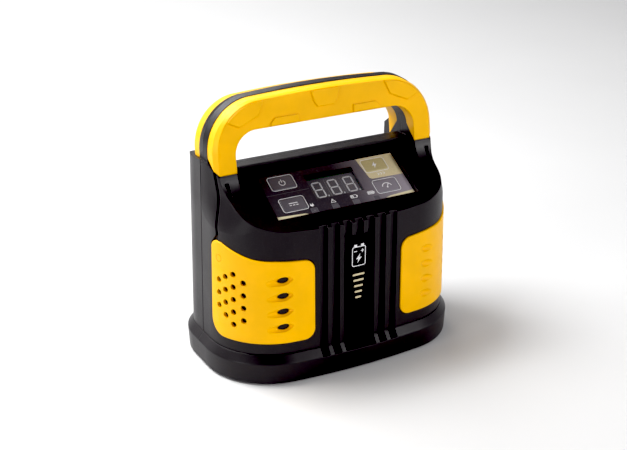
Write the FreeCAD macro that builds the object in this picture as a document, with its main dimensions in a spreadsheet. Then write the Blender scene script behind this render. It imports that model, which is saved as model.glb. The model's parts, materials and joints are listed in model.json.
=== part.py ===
import FreeCAD, Part
import math
import os
import Sketcher
from FreeCAD import Vector

# Bench charger for car batteries, in millimetres.
# +X is to the right seen from the front, the front faces -Y, +Z is up.
# The origin is on the floor, below the middle of the base.

DIMENSIONS = {
    # case plan: half sizes of the flange round the base, and its rounding
    "flange_half_x": 97.7,
    "flange_half_y": 60.9,
    "flange_corner": 51.5,
    "rear_corner": 41.0,
    "face_bow": 470.0,
    "flange_top": 16.7,
    "foot_inset": 0.9,
    "step_inset": 4.4,
    "step_top": 22.2,
    "body_top": 153.0,
    "body_draft_x": 2.6,
    "body_draft_y": 1.4,
    "floor_gap": 1.0,
    "wall": 2.6,
    "seam_y": 6.0,
    # sloping console and its label
    "label_tilt": 29.3,
    "label_y": -22.35,
    "label_z": 126.65,
    "label_wide": 111.0,
    "label_long": 41.0,
    "label_sunk": 3.5,
    "flare_low": 108.0,
    "flare_high": 136.0,
    "flare_deep": 6.8,
    "flare_middle": 18.0,
    "flare_spread": 40.0,
    "cheek_inner": 79.4,
    "cheek_flat": 4.6,
    "cheek_knee": 8.8,
    "rear_cheek_knee": 28.0,
    "cheek_drop": 2.2,
    "cheek_slope": 0.74,
    "toe_reach": 13.0,
    "toe_rise": 10.0,
    "sill_y": -1.5,
    "sill_top": 146.5,
    # handle
    "leg_inner": 71.4,
    "leg_front": -11.6,
    "handle_mid_y": 4.8,
    "handle_base_z": 146.0,
    "handle_lean": 8.0,
    "core_thick": 13.2,
    "handle_shoulder": 36.0,
    "handle_crown": 1.8,
    "grip_thick": 9.8,
    "grip_taper": 3.8,
    "grip_drop": 2.1,
    "rear_grip_thick": 11.4,
    "rear_grip_taper": 1.4,
    "rear_grip_drop": 0.9,
    "grip_bevel": 3.0,
    "grip_crown": 1.4,
    "grip_below_core": 1.8,
    "grip_foot": -2.5,
    "grip_foot_back": 9.1,
    "pad_proud": 1.0,
    "core_half_x": 88.2,
    "core_top": 196.2,
    "opening_top": 171.5,
    "opening_corner": 16.5,
    # front ribs and plate
    "rib_wide": 3.6,
    "groove_wide": 5.7,
    "groove_deep": 4.0,
    "plate_wide": 24.2,
    "plate_low": 18.0,
    "plate_high": 103.0,
    # side panels
    "panel_inner_x": 35.0,
    "panel_low": 31.2,
    "panel_high": 91.0,
    "panel_peak": 102.4,
    "panel_rear_y": -11.5,
    "panel_proud": 1.0,
    "panel_sunk": 1.2,
    "vent_hole": 2.1,
    "louvre_pitch": 11.8,
    "louvre_low": 44.3,
    "louvre_radius": 3.1,
    "louvre_bow": 1.88,
    "louvre_x": 51.5,
    "louvre_long": 23.5,
    "louvre_turn": 3.76,
    "louvre_drop": 3.2,
    "blind_lift": 1.4,
    "cheek_groove": 1.7,
    # keys
    "key_wide": 18.0,
    "key_long": 11.0,
    "key_x": 37.5,
    "key_upper": 12.3,
    "key_lower": -7.6,
    "key_gap": 0.3,
    "key_thick": 1.6,
    "label_thick": 1.6,
    "overlay_thick": 0.4,
    "window_wide": 38.6,
    "window_long": 21.6,
    "window_v": 3.2,
    "led_x": 8.4,
    "led_v": -16.8,
    "led_side": 4.4,
    # inside
    "board_thick": 1.6,
    "main_board_z": 14.0,
    "fan_side": 60.0,
    "fan_deep": 15.0,
    "fan_z": 66.0,
    "fan_spindle": 1.5,
    "fan_bore": 1.56,
    "gland_radius": 6.0,
    "gland_bore": 3.6,
    "lead_bore": 3.2,
    "foot_radius": 8.0,
    "screw_shank": 1.5,
    "screw_head": 3.2,
}

doc = FreeCAD.newDocument("battery_charger")
sheet = doc.addObject("Spreadsheet::Sheet", "dims")
for row, (alias, size) in enumerate(DIMENSIONS.items(), start=1):
    sheet.set(f"A{row}", alias)
    sheet.set(f"B{row}", str(size))
    sheet.setAlias(f"B{row}", alias)
doc.recompute()

# every sub-part that is written out, by node name
nodes = {}


def dim(alias):
    """A driving dimension, read from the sheet."""
    return float(sheet.get(alias))


# ---------------------------------------------------------------- building helpers


def bind(thing, **expressions):
    """Bind properties to expressions; dots in a property path are written as double underscores."""
    for path, text in expressions.items():
        thing.setExpression(path.replace("__", "."), text)
    return thing


def place(thing, spot):
    """Bind a primitive's position to three expressions."""
    for axis, text in zip("xyz", spot):
        thing.setExpression(f"Placement.Base.{axis}", text)
    return thing


def box(name, size, low_corner):
    """A box with bound sizes whose lowest corner is at a bound place."""
    thing = doc.addObject("Part::Box", name)
    bind(thing, Length=size[0], Width=size[1], Height=size[2])
    return place(thing, low_corner)


def rod(name, radius, length, start, axis=Vector(0, 0, 1)):
    """A cylinder with bound sizes that starts at a bound place and runs along an axis."""
    thing = doc.addObject("Part::Cylinder", name)
    bind(thing, Radius=radius, Height=length)
    thing.Placement.Rotation = FreeCAD.Rotation(Vector(0, 0, 1), axis)
    return place(thing, start)


def cut(name, base, tool):
    thing = doc.addObject("Part::Cut", name)
    thing.Base = base
    thing.Tool = tool
    return thing


def group(name, members):
    """Separate solids kept together, as one node or as one cutting tool."""
    thing = doc.addObject("Part::Compound", name)
    thing.Links = members
    return thing


def fuse(name, members):
    thing = doc.addObject("Part::MultiFuse", name)
    thing.Shapes = members
    return thing


def solid(name, shape):
    """A free-form solid, worked out from the sheet's dimensions."""
    thing = doc.addObject("Part::Feature", name)
    thing.Shape = shape
    return thing


def on_label(thing):
    """Stand a piece, built round its own origin, on the console's sloping label plane."""
    thing.Placement = FreeCAD.Placement(Vector(), FreeCAD.Rotation(Vector(1, 0, 0), 1))
    bind(thing, Placement__Base__y="dims.label_y", Placement__Base__z="dims.label_z")
    bind(thing, Placement__Rotation__Angle="dims.label_tilt")
    return thing


def keep(thing, node):
    thing.Label = node
    nodes[node] = thing
    return thing


def closed_wire(points):
    return Part.makePolygon(list(points) + [points[0]])


def prism(points, run):
    """The solid swept by a closed outline along a vector."""
    return Part.Face(closed_wire(points)).extrude(run)


def rounded_prism(points, radii, run):
    """A prism whose outline has its corners rounded by the radius given for each point."""
    edges = []
    count = len(points)
    ends = []
    for i, corner in enumerate(points):
        before = (points[i - 1] - corner).normalize()
        after = (points[(i + 1) % count] - corner).normalize()
        half = before.getAngle(after) / 2
        reach = radii[i] / math.tan(half)
        bisector = (before + after).normalize()
        middle = corner + bisector * (radii[i] / math.sin(half) - radii[i])
        ends.append((corner + before * reach, middle, corner + after * reach))
    for i, (start, middle, stop) in enumerate(ends):
        if radii[i] > 0:
            edges.append(Part.Arc(start, middle, stop).toShape())
        following = ends[(i + 1) % count][0]
        if stop.distanceToPoint(following) > 1e-4:
            edges.append(Part.LineSegment(stop, following).toShape())
    return Part.Face(Part.Wire(edges)).extrude(run)


# ---------------------------------------------------------------- case form


def plan_corner(inset_x, inset_y, height, rear):
    """Face end, middle and side end of the right front or right rear corner's arc."""
    centre_x, centre_y, corner = corner_centre(inset_x, inset_y, rear)
    face_middle = dim("flange_half_y") - inset_y - dim("face_bow")
    joint = math.atan2(centre_y + face_middle, centre_x)
    points = []
    for turn in (joint, joint / 2, 0.0):
        y = centre_y + corner * math.sin(turn)
        points.append(Vector(centre_x + corner * math.cos(turn), -y if rear else y, height))
    return points


def plan_wire(inset_x, inset_y, height):
    """The case's plan outline: bowed front and rear, straight sides, large round corners."""
    half_y = dim("flange_half_y") - inset_y
    front = plan_corner(inset_x, inset_y, height, False)
    rear = plan_corner(inset_x, inset_y, height, True)

    def flipped(point):
        return Vector(-point.x, point.y, point.z)

    left_front = [flipped(point) for point in front]
    left_rear = [flipped(point) for point in rear]
    return Part.Wire([
        Part.Arc(left_front[0], Vector(0, -half_y, height), front[0]).toShape(),
        Part.Arc(*front).toShape(),
        Part.LineSegment(front[2], rear[2]).toShape(),
        Part.Arc(*rear[::-1]).toShape(),
        Part.Arc(rear[0], Vector(0, half_y, height), left_rear[0]).toShape(),
        Part.Arc(*left_rear).toShape(),
        Part.LineSegment(left_rear[2], left_front[2]).toShape(),
        Part.Arc(*left_front[::-1]).toShape(),
    ])


def body_insets(height, extra=0.0):
    """How far the drafted body wall stands inside the flange at a height."""
    rise = (height - dim("step_top")) / (dim("body_top") - dim("step_top"))
    inset_x = dim("step_inset") + dim("body_draft_x") * rise + extra
    inset_y = dim("step_inset") + dim("body_draft_y") * rise + extra
    return inset_x, inset_y


def body_band(extra, low, high):
    """The drafted body as a solid between two heights, grown or shrunk by an offset."""
    ends = [plan_wire(*body_insets(z, extra), z) for z in (low, high)]
    return Part.makeLoft(ends, True, True)


def case_block(extra=0.0):
    """Flange, sloping step and drafted body, before the console and handle are shaped."""
    foot = dim("foot_inset") + extra
    bottom = dim("floor_gap") + extra
    wires = [
        plan_wire(foot, foot, bottom),
        plan_wire(extra, extra, dim("flange_top")),
        plan_wire(*body_insets(dim("step_top"), extra), dim("step_top")),
        plan_wire(*body_insets(dim("body_top"), extra), dim("body_top")),
    ]
    return Part.makeLoft(wires, True, True)


def slope_height(y, sunk=0.0):
    """Height of the console's surface at y; sunk moves it down, square to the slope."""
    tilt = math.radians(dim("label_tilt"))
    lift = (dim("label_sunk") - sunk) / math.cos(tilt)
    return dim("label_z") + (y - dim("label_y")) * math.tan(tilt) + lift


def console_cutter(mirror=False, sunk=0.0):
    """What is taken off the case above the sloping console: full width before the legs, between
    the legs as far as the sill. The rear one stays between the side cheeks."""
    start = -90.0
    leg = dim("leg_front") - sunk
    sill = dim("sill_y") - sunk
    inner = dim("leg_inner") + sunk
    top = 300.0
    tool = None
    wide = dim("cheek_inner") + sunk if mirror else 130.0
    for half_x, stop in ((wide, leg), (inner, sill)):
        side = [
            Vector(-half_x, start, slope_height(start, sunk)),
            Vector(-half_x, stop, slope_height(stop, sunk)),
            Vector(-half_x, stop, top),
            Vector(-half_x, start, top),
        ]
        wedge = prism(side, Vector(2 * half_x, 0, 0))
        tool = wedge if tool is None else tool.fuse(wedge)
    return mirror_rear(tool) if mirror else tool


def mirror_rear(shape):
    """The same shape on the rear of the handle's middle plane."""
    return shape.mirror(Vector(0, dim("handle_mid_y"), 0), Vector(0, 1, 0))


def corner_centre(inset_x, inset_y, rear=False):
    """Centre of a right corner's arc as if it were at the front, and the arc's radius."""
    corner = dim("rear_corner" if rear else "flange_corner") - inset_x
    bow = dim("face_bow")
    centre_x = dim("flange_half_x") - inset_x - corner
    centre_y = inset_y - dim("flange_half_y") + bow - math.sqrt((bow - corner) ** 2 - centre_x**2)
    return centre_x, centre_y, corner


def flared_point(turn, height, extra):
    """A point of the flared wall, by its angle round the corner's centre and its height. Angles
    below zero run straight back along the side wall."""
    centre_x, centre_y, radius = corner_centre(*body_insets(height, extra))
    rise = (height - dim("flare_low")) / (dim("flare_high") - dim("flare_low"))
    rise = min(max(rise, 0.0), 1.0)
    aside = min(abs(turn - dim("flare_middle")) / dim("flare_spread"), 1.0)
    lean = dim("flare_deep") * rise * rise * (3 - 2 * rise) * math.cos(aside * math.pi / 2) ** 2
    proud = 0.15
    reach = radius - lean + proud
    angle = math.radians(max(turn, 0.0))
    y = centre_y - reach * math.sin(angle) + radius * math.radians(max(-turn, 0.0))
    return Vector(centre_x + reach * math.cos(angle), y, height)


def flare_cutter(extra=0.0):
    """What is taken off the front corners, whose wall leans in from the body to the handle leg."""
    turns = [dim("flare_middle") + dim("flare_spread") * step / 6 for step in range(-7, 8)]
    heights = [dim("flare_low") + 4.0 * step for step in range(-1, 14)]
    grid = [[flared_point(turn, height, extra) for turn in turns] for height in heights]
    wall = Part.BSplineSurface()
    wall.interpolate(grid)
    right = wall.toShape().extrude(Vector(60, -40, 0))
    return right.fuse(right.mirror(Vector(0, 0, 0), Vector(1, 0, 0)))


def handle_frame():
    """Where the handle's own upright frame stands: its foot, leaning back."""
    lean = FreeCAD.Rotation(Vector(1, 0, 0), -dim("handle_lean"))
    foot = Vector(0, dim("handle_mid_y"), dim("handle_base_z"))
    return FreeCAD.Placement(foot, lean)


def bar_outline(half_x, top, shoulder, crown):
    """Outer outline of the handle from the front, as edges from the left foot to the right foot."""
    low = -30.0
    side_top = top - shoulder
    slope_x = half_x - shoulder
    quarter = math.radians(45)
    knee_x = slope_x + shoulder * math.sin(quarter)
    knee_z = side_top - crown + shoulder * math.cos(quarter)
    foot = Vector(half_x, 0, low)
    side = Vector(half_x, 0, side_top - crown)
    knee = Vector(knee_x, 0, knee_z)
    start = Vector(slope_x, 0, top - crown)

    def flip(point):
        return Vector(-point.x, point.y, point.z)

    return [
        Part.LineSegment(flip(foot), flip(side)).toShape(),
        Part.Arc(flip(side), flip(knee), flip(start)).toShape(),
        Part.Arc(flip(start), Vector(0, 0, top), start).toShape(),
        Part.Arc(start, knee, side).toShape(),
        Part.LineSegment(side, foot).toShape(),
        Part.LineSegment(foot, flip(foot)).toShape(),
    ]


def bar_loft(near, far):
    """A solid between two outlines; each is (y, half_x, top, shoulder, crown)."""
    wires = []
    for y, half_x, top, shoulder, crown in (near, far):
        wire = Part.Wire(bar_outline(half_x, top, shoulder, crown))
        wire.translate(Vector(0, y, 0))
        wires.append(wire)
    return Part.makeLoft(wires, True, True)


def opening_prism(grow=0.0, deep=60.0):
    """The hand opening, in the handle's own frame."""
    half = dim("leg_inner") - grow
    base = dim("handle_base_z")
    top = dim("opening_top") - base - grow
    low = -40.0
    corner = dim("opening_corner")
    points = [
        Vector(-half, -deep / 2, low),
        Vector(half, -deep / 2, low),
        Vector(half, -deep / 2, top),
        Vector(-half, -deep / 2, top),
    ]
    return rounded_prism(points, [0, 0, corner, corner], Vector(0, deep, 0))


def handle_core():
    """The black middle layer of the handle, which both case halves share."""
    half_y = dim("core_thick") / 2
    half_x = dim("core_half_x")
    top = dim("core_top") - dim("handle_base_z")
    edge = (half_x, top - 1.0, dim("handle_shoulder"), dim("handle_crown"))
    ridge = (half_x + 0.3, top, dim("handle_shoulder"), dim("handle_crown"))
    front = bar_loft((-half_y, *edge), (0, *ridge))
    rear = bar_loft((0, *ridge), (half_y, *edge))
    return front.fuse(rear).cut(opening_prism()).removeSplitter()


def legs_block():
    """The black legs below the grips: full handle depth, from the console up to the grips' feet."""
    core_half = dim("core_thick") / 2
    front_y = core_half + dim("grip_thick")
    rear_y = core_half + dim("rear_grip_thick")
    half_x = dim("core_half_x")
    top = 52.0
    shoulder = dim("handle_shoulder")
    front_end = (half_x - dim("grip_taper"), top - 2, shoulder - 2, 1.0)
    rear_end = (half_x - dim("rear_grip_taper"), top - 1, shoulder - 1, 1.0)
    waist = (half_x + 0.3, top, shoulder, 1.0)
    front = bar_loft((-front_y, *front_end), (0, *waist))
    rear = bar_loft((0, *waist), (rear_y, *rear_end))
    foot = dim("grip_foot")
    ledge = dim("grip_foot_back")
    side = [
        Vector(-120, -front_y - 1, -30),
        Vector(-120, rear_y + 1, -30),
        Vector(-120, rear_y + 1, foot),
        Vector(-120, rear_y, foot),
        Vector(-120, core_half, ledge),
        Vector(-120, -core_half, ledge),
        Vector(-120, -front_y, foot),
        Vector(-120, -front_y - 1, foot),
    ]
    below = prism(side, Vector(240, 0, 0))
    return front.fuse(rear).cut(opening_prism()).common(below)


def grip_solid(rear=False):
    """Yellow cladding on the front or rear of the handle, in the handle's own frame."""
    which = "rear_" if rear else ""
    core_half = dim("core_thick") / 2
    face = core_half + dim(which + "grip_thick")
    drop = dim(which + "grip_drop")
    half_x = dim("core_half_x")
    top = dim("core_top") - dim("handle_base_z") - dim("grip_below_core")
    shoulder = dim("handle_shoulder")
    crown = dim("grip_crown")
    back_edge = (half_x - 0.2, top, shoulder, crown)
    bevel_edge = (half_x - 0.4 * drop, top - 0.5 * drop, shoulder - 0.5, crown)
    face_edge = (half_x - dim(which + "grip_taper"), top - drop, shoulder - drop - 0.5, crown)
    bevel = face - dim("grip_bevel")
    grip = bar_loft((-bevel, *bevel_edge), (-core_half, *back_edge))
    grip = grip.fuse(bar_loft((-face, *face_edge), (-bevel, *bevel_edge)))
    grip = grip.cut(opening_prism())
    high = 90.0
    foot = [
        Vector(-120, -face - 1, dim("grip_foot")),
        Vector(-120, -face - 1, high),
        Vector(-120, -core_half, high),
        Vector(-120, -core_half, dim("grip_foot_back")),
        Vector(-120, -face, dim("grip_foot")),
    ]
    grip = grip.common(prism(foot, Vector(240, 0, 0)))
    pads = [pad.common(grip_face_zone(face_edge)) for pad in grip_pads(face)]
    grip = grip.fuse(pads).removeSplitter()
    if rear:
        grip = grip.mirror(Vector(0, 0, 0), Vector(0, 1, 0))
    return grip


def grip_face_zone(face_edge):
    """Where the raised pads may stand: inside the grip face's outline and off the opening."""
    inset = 0.6
    half_x, top, shoulder, crown = face_edge
    wire = Part.Wire(bar_outline(half_x - inset, top - inset, shoulder - inset, crown))
    wire.translate(Vector(0, -30, 0))
    return Part.Face(wire).extrude(Vector(0, 30, 0)).cut(opening_prism(-inset))


def grip_pads(face):
    """Raised shapes on the grip's face: a middle keystone, two corner fields and two low tabs."""
    lift = Vector(0, -dim("pad_proud"), 0)
    keystone = [(-13, 52), (-9.2, 38.3), (-6.6, 34.3), (6.6, 34.3), (9.2, 38.3), (13, 52)]
    corner = [(48, 52), (48.4, 44.3), (52.5, 35), (67.2, 28.6), (77.5, 33.9), (95, 43), (90, 52)]
    tab = [(21, 20), (22, 31.4), (40.2, 31.4), (43.3, 28.2), (44.4, 20)]
    pads = []
    for outline in (keystone, corner, tab):
        pad = prism([Vector(x, -face, z) for x, z in outline], lift)
        pads.append(pad)
        if outline is not keystone:
            pads.append(pad.mirror(Vector(0, 0, 0), Vector(1, 0, 0)))
    return pads


def rib_grooves():
    """The seven upright grooves down the front, between which the six ribs stand."""
    pitch = dim("rib_wide") + dim("groove_wide")
    tools = []
    for step in range(-3, 4):
        left = step * pitch - dim("groove_wide") / 2
        tool = Part.makeBox(dim("groove_wide"), 30, 140, Vector(left, 0, dim("flange_top")))
        depth = -dim("flange_half_y") + dim("step_inset") + dim("groove_deep")
        tool.translate(Vector(0, depth - 30, 0))
        tools.append(tool)
    return Part.makeCompound(tools)


def plate_pocket():
    """Room for the plate: the middle ribs are cut back along its height."""
    wide = dim("plate_wide")
    low = dim("flange_top")
    depth = -dim("flange_half_y") + dim("step_inset") + dim("groove_deep")
    return Part.makeBox(wide, 30, dim("plate_high") - low, Vector(-wide / 2, depth - 30, low))


def panel_window(grow=0.0):
    """Everything behind a left panel's outline, seen from the front and from the side."""
    inner = -dim("panel_inner_x") + grow
    low = dim("panel_low") - grow
    high = dim("panel_high") + grow
    peak = dim("panel_peak") + grow
    rear = dim("panel_rear_y") + grow
    front_view = [
        Vector(-130, -120, low), Vector(inner, -120, low), Vector(inner, -120, high),
        Vector(-70, -120, high + 3.0), Vector(-72, -120, peak + 12), Vector(-130, -120, peak + 12),
    ]
    across = rounded_prism(front_view, [0, 8, 8, 0, 0, 0], Vector(0, 140, 0))
    side_view = [
        Vector(-130, -120, low), Vector(-130, rear, low), Vector(-130, rear, peak),
        Vector(-130, rear - 10.5, peak), Vector(-130, rear - 33, high + 2.6),
        Vector(-130, -120, high),
    ]
    along = rounded_prism(side_view, [0, 13, 6, 5, 30, 0], Vector(130, 0, 0))
    return across.common(along)


def panel_shape(grow, outer, inner):
    """A curved sheet that follows the body between two offsets, cut to the panel's outline."""
    low = dim("panel_low") - 8
    high = dim("panel_peak") + 12
    sheet_solid = body_band(-outer, low, high).cut(body_band(inner, low - 1, high + 1))
    return sheet_solid.common(panel_window(grow))


def mirrored(shape):
    return shape.mirror(Vector(0, 0, 0), Vector(1, 0, 0))


def cavity():
    """The hollow inside the case, one wall thickness in from every outer face."""
    wall = dim("wall")
    inner = case_block(wall)
    inner = inner.cut(console_cutter(False, label_depth() + wall))
    inner = inner.cut(console_cutter(True, label_depth() + wall))
    slanted = wall / math.cos(math.atan(dim("cheek_slope")))
    inner = inner.cut([flare_cutter(wall), cheek_tops(slanted)])
    ribs_back = -dim("flange_half_y") + dim("step_inset") + dim("groove_deep") + wall
    band = Part.makeBox(70, 60, 160, Vector(-35, ribs_back - 60, 0))
    above = Part.makeBox(300, 300, 100, Vector(-150, -150, dim("sill_top") - wall))
    return inner.cut([band, above])


def label_depth():
    return dim("label_sunk") + 1.5


def front_half():
    """Everything in front of the seam, which leans back with the handle above the sill."""
    seam = dim("seam_y")
    knee = dim("sill_top")
    top = 260.0
    leaning = seam + (top - knee) * math.tan(math.radians(dim("handle_lean")))
    side = [
        Vector(-150, -150, -10), Vector(-150, seam, -10), Vector(-150, seam, knee),
        Vector(-150, leaning, top), Vector(-150, -150, top),
    ]
    return prism(side, Vector(300, 0, 0))


def case_form():
    """The whole black case before it is split: body, console, legs and handle core."""
    block = case_block()
    rims = [
        edge for edge in block.Edges
        if edge.BoundBox.ZLength < 0.01 and edge.BoundBox.ZMax < dim("step_top") - 1
    ]
    block = block.makeFillet(1.3, rims)
    block = block.cut([console_cutter(), console_cutter(True)])
    inner = dim("leg_inner")
    block = block.cut(Part.makeBox(2 * inner, 200, 80, Vector(-inner, -100, dim("sill_top"))))
    block = block.cut(cheek_tops())
    block = block.fuse(leg_toes())
    block = block.cut([flare_cutter(), rib_grooves(), plate_pocket(), step_line()] + cheek_grooves())
    bottom = Part.makeBox(300, 300, 130, Vector(-150, -150, 0))
    upper = []
    for shape in (handle_core(), legs_block()):
        shape.Placement = handle_frame()
        upper.append(shape.cut(bottom))
    grips = placed([grip_solid(), grip_solid(True)], handle_frame())
    return block.fuse(upper).cut(grips).removeSplitter()


def step_line():
    """A fine line round the foot of the wall, where it meets the step."""
    low = dim("step_top")
    high = low + 0.7
    return body_band(-1, low, high).cut(body_band(0.6, low - 1, high + 1))


def cheek_grooves():
    """The groove before each side cheek, from the grip's corner down to and along the panel."""
    rear = dim("panel_rear_y")
    peak = dim("panel_peak")
    outline = [
        Vector(-130, -9.7, 148), Vector(-130, -18.8, 108), Vector(-130, -18.8, peak + 1.4),
        Vector(-130, rear - 5.5, peak - 1), Vector(-130, rear - 0.5, peak - 6),
        Vector(-130, rear - 0.5, 46), Vector(-130, rear + 1.3, 46),
        Vector(-130, rear + 1.3, peak - 3.5), Vector(-130, -16.1, peak + 3.6),
        Vector(-130, -16.1, 108), Vector(-130, -7.0, 148),
    ]
    strip = rounded_prism(outline, [0, 6, 3, 4, 5, 0, 0, 4, 3, 6, 0], Vector(46, 0, 0))
    deep = dim("cheek_groove")
    left = strip.cut(body_band(deep, 40, 150).cut(flare_cutter(deep)))
    return [left, mirrored(left)]


def cheek_tops(extra=0.0):
    """What is cut off above the side cheeks, level beside the handle and sloping to both ends."""
    top = dim("body_top") + 20
    middle = dim("handle_mid_y")
    peak = dim("body_top") - extra
    low = peak - dim("cheek_drop")
    far = 100.0
    side = []
    for way, knee in ((1, dim("rear_cheek_knee")), (-1, dim("cheek_knee"))):
        end = low - dim("cheek_slope") * (far - knee)
        profile = [(far, top), (far, end), (knee, low), (dim("cheek_flat"), peak)]
        side += [Vector(-150, middle + way * y, z) for y, z in profile[::way]]
    outside = prism(side, Vector(300, 0, 0))
    inner = dim("leg_inner")
    return outside.cut(Part.makeBox(2 * inner, 400, 400, Vector(-inner, -200, 0)))


def leg_toes():
    """Concave fillets that carry the console's surface up into the front of each handle leg."""
    face = dim("leg_front")
    reach = dim("toe_reach")
    low = slope_height(face)
    rise = dim("toe_rise")
    out = slope_height(face - reach)
    start = Vector(0, face - reach, out)
    stop = Vector(0, face, low + rise)
    middle = Vector(0, face - 0.36 * reach, low - 0.02 * rise)
    inside = face + 2
    edges = [
        Part.Arc(start, middle, stop).toShape(),
        Part.LineSegment(stop, Vector(0, inside, low + rise)).toShape(),
        Part.LineSegment(Vector(0, inside, low + rise), Vector(0, inside, out - 5)).toShape(),
        Part.LineSegment(Vector(0, inside, out - 5), start).toShape(),
    ]
    profile = Part.Face(Part.Wire(edges))
    inner = dim("leg_inner")
    wide = 30.0
    toes = []
    for left in (-inner - wide, inner):
        toe = profile.extrude(Vector(wide, 0, 0))
        toe.translate(Vector(left, 0, 0))
        toes += [toe, mirror_rear(toe)]
    outline = body_band(0, dim("step_top"), dim("body_top")).cut(cheek_tops())
    return [toe.common(outline) for toe in toes]


# ---------------------------------------------------------------- case halves and cladding


def screw_posts(front):
    """Tubes for the four case screws, each tied to the nearest side wall by a web."""
    shapes = []
    seam = dim("seam_y")
    for x, z in case_screw_spots():
        near = seam - 22 if front else seam
        length = 22.0 if front else 44.0
        tube = Part.makeCylinder(5.2, length, Vector(x, near, z), Vector(0, 1, 0))
        left = x if x > 0 else x - 18
        web = Part.makeBox(18, length, 2.4, Vector(left, near, z - 1.2))
        shapes += [tube, web]
    return shapes


def case_screw_spots():
    return [(x, z) for x in (-79.0, 79.0) for z in (32.0, 104.0)]


def label_opening_tools():
    """The label's recess in the console and the window through its floor, in label coordinates."""
    wide = dim("label_wide") + 0.6
    long = dim("label_long") + 0.6
    seat = dim("label_thick") + dim("overlay_thick")
    recess = Part.makeBox(wide, long, 20, Vector(-wide / 2, -long / 2, -seat))
    through = Part.makeBox(wide - 8, long - 3, 12, Vector(-wide / 2 + 4, -long / 2 + 1.5, -12))
    return recess.fuse(through)


def display_posts():
    """Posts under the console that carry the display board, in label coordinates."""
    posts = []
    for x, v in display_screw_spots():
        post = Part.makeCylinder(2.6, 5.4, Vector(x, v, -8.4))
        posts.append(post.cut(Part.makeCylinder(1.2, 9, Vector(x, v, -12))))
    return posts


def display_screw_spots():
    return [(x, v) for x in (-56.5, 56.5) for v in (-13.0, 13.0)]


def label_frame():
    turn = FreeCAD.Rotation(Vector(1, 0, 0), dim("label_tilt"))
    return FreeCAD.Placement(Vector(0, dim("label_y"), dim("label_z")), turn)


def placed(shapes, frame):
    for shape in shapes:
        shape.Placement = frame.multiply(shape.Placement)
    return shapes


def panel_seats():
    left = panel_shape(0.25, 1.6, dim("panel_sunk"))
    return [left, mirrored(left)]


def rear_openings():
    """Fan slots and the stepped holes for the three glands in the rear wall."""
    tools = []
    slot = 3.2
    pitch = 6.4
    for row in range(-4, 5):
        half = math.sqrt(29.0**2 - (row * pitch) ** 2)
        low = dim("fan_z") + row * pitch - slot / 2
        tools.append(Part.makeBox(2 * half, 14, slot, Vector(-half, 50, low)))
    for x, z, seat in gland_spots():
        tools.append(Part.makeCylinder(seat, 30, Vector(x, 56, z), Vector(0, -1, 0)))
        tools.append(Part.makeCylinder(seat + 2.6, 20, Vector(x, 52.6, z), Vector(0, 1, 0)))
    return tools


def gland_spots():
    radius = dim("gland_radius")
    return [(-46.0, 30.2, radius), (26.0, 30.2, radius - 0.5), (45.0, 30.2, radius - 0.5)]


def foot_spots():
    return [(x, y) for x in (-68.0, 68.0) for y in (-36.0, 36.0)]


def build_case():
    form = case_form()
    shell = form.cut(cavity())
    posts = screw_posts(True) + screw_posts(False)
    inside = case_block(0.4)
    kept = [post.common(inside).cut(panel_band_keep_out()) for post in posts]
    shell = shell.fuse(kept)
    boards = [Part.makeCylinder(3.0, dim("main_board_z") - 3.0, Vector(x, y, 3.0))
              for x, y in main_screw_spots()]
    shell = shell.fuse(boards + placed(display_posts(), label_frame()))
    tools = placed([label_opening_tools()], label_frame())
    tools += panel_seats() + rear_openings()
    for x, y in foot_spots():
        tools.append(Part.makeCylinder(2.5, 10, Vector(x, y, 0)))
    for x, y in main_screw_spots():
        tools.append(Part.makeCylinder(1.25, 9, Vector(x, y, dim("main_board_z") - 8)))
    for x, z in case_screw_spots():
        tools.append(Part.makeCylinder(dim("screw_shank"), 36, Vector(x, -14, z), Vector(0, 1, 0)))
        tools.append(Part.makeCylinder(dim("screw_head") + 0.4, 60, Vector(x, 22, z), Vector(0, 1, 0)))
    shell = shell.cut(tools)
    seam_line = seam_groove()
    half = front_half()
    front = shell.common(half).cut(seam_line)
    rear = shell.cut(half).cut(seam_line)
    keep(solid("front_shell", biggest(front)), "front_shell")
    keep(solid("rear_shell", biggest(rear)), "rear_shell")


def panel_band_keep_out():
    """A thin zone outside the case wall, so that webs end inside the wall."""
    return body_band(-5, dim("step_top") + 0.5, dim("body_top")).cut(
        body_band(1.4, dim("step_top"), dim("body_top") + 1))


def seam_groove():
    """A fine line between the two halves round the body."""
    low = dim("step_top")
    high = dim("body_top")
    ring = body_band(-3, low, high).cut(body_band(0.6, low - 1, high + 1))
    slab = Part.makeBox(300, 0.8, 200, Vector(-150, dim("seam_y") - 0.4, 0))
    return ring.common(slab)


def biggest(shape):
    """The main solid of a boolean's result, without splinters."""
    return max(shape.Solids, key=lambda piece: piece.Volume)


def build_grips():
    frame = handle_frame()
    for node, rear in (("front_grip", False), ("rear_grip", True)):
        grip = solid(node, biggest(grip_solid(rear)))
        grip.Placement = frame
        keep(grip, node)


def vent_holes():
    """The staggered round holes of the left panel, in four columns round its corner."""
    columns = [
        (-91.5, -20.3, (55.1, 64.8, 74.5)),
        (-89.6, -26.3, (49.3, 59.0, 68.7, 78.4)),
        (-86.6, -32.2, (43.7, 53.2, 62.7, 72.2, 81.7)),
        (-82.0, -38.6, (48.1, 57.6, 67.1, 76.6)),
    ]
    corner_x, corner_y, _ = corner_centre(*body_insets(dim("louvre_low")))
    corner_x = -corner_x
    tools = []
    for x, y, heights in columns:
        out = Vector(x - corner_x, y - corner_y, 0).normalize()
        for z in heights:
            start = Vector(x, y, z) + out * 8
            tools.append(Part.makeCylinder(dim("vent_hole"), 16, start, out * -1))
    return tools


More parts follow.
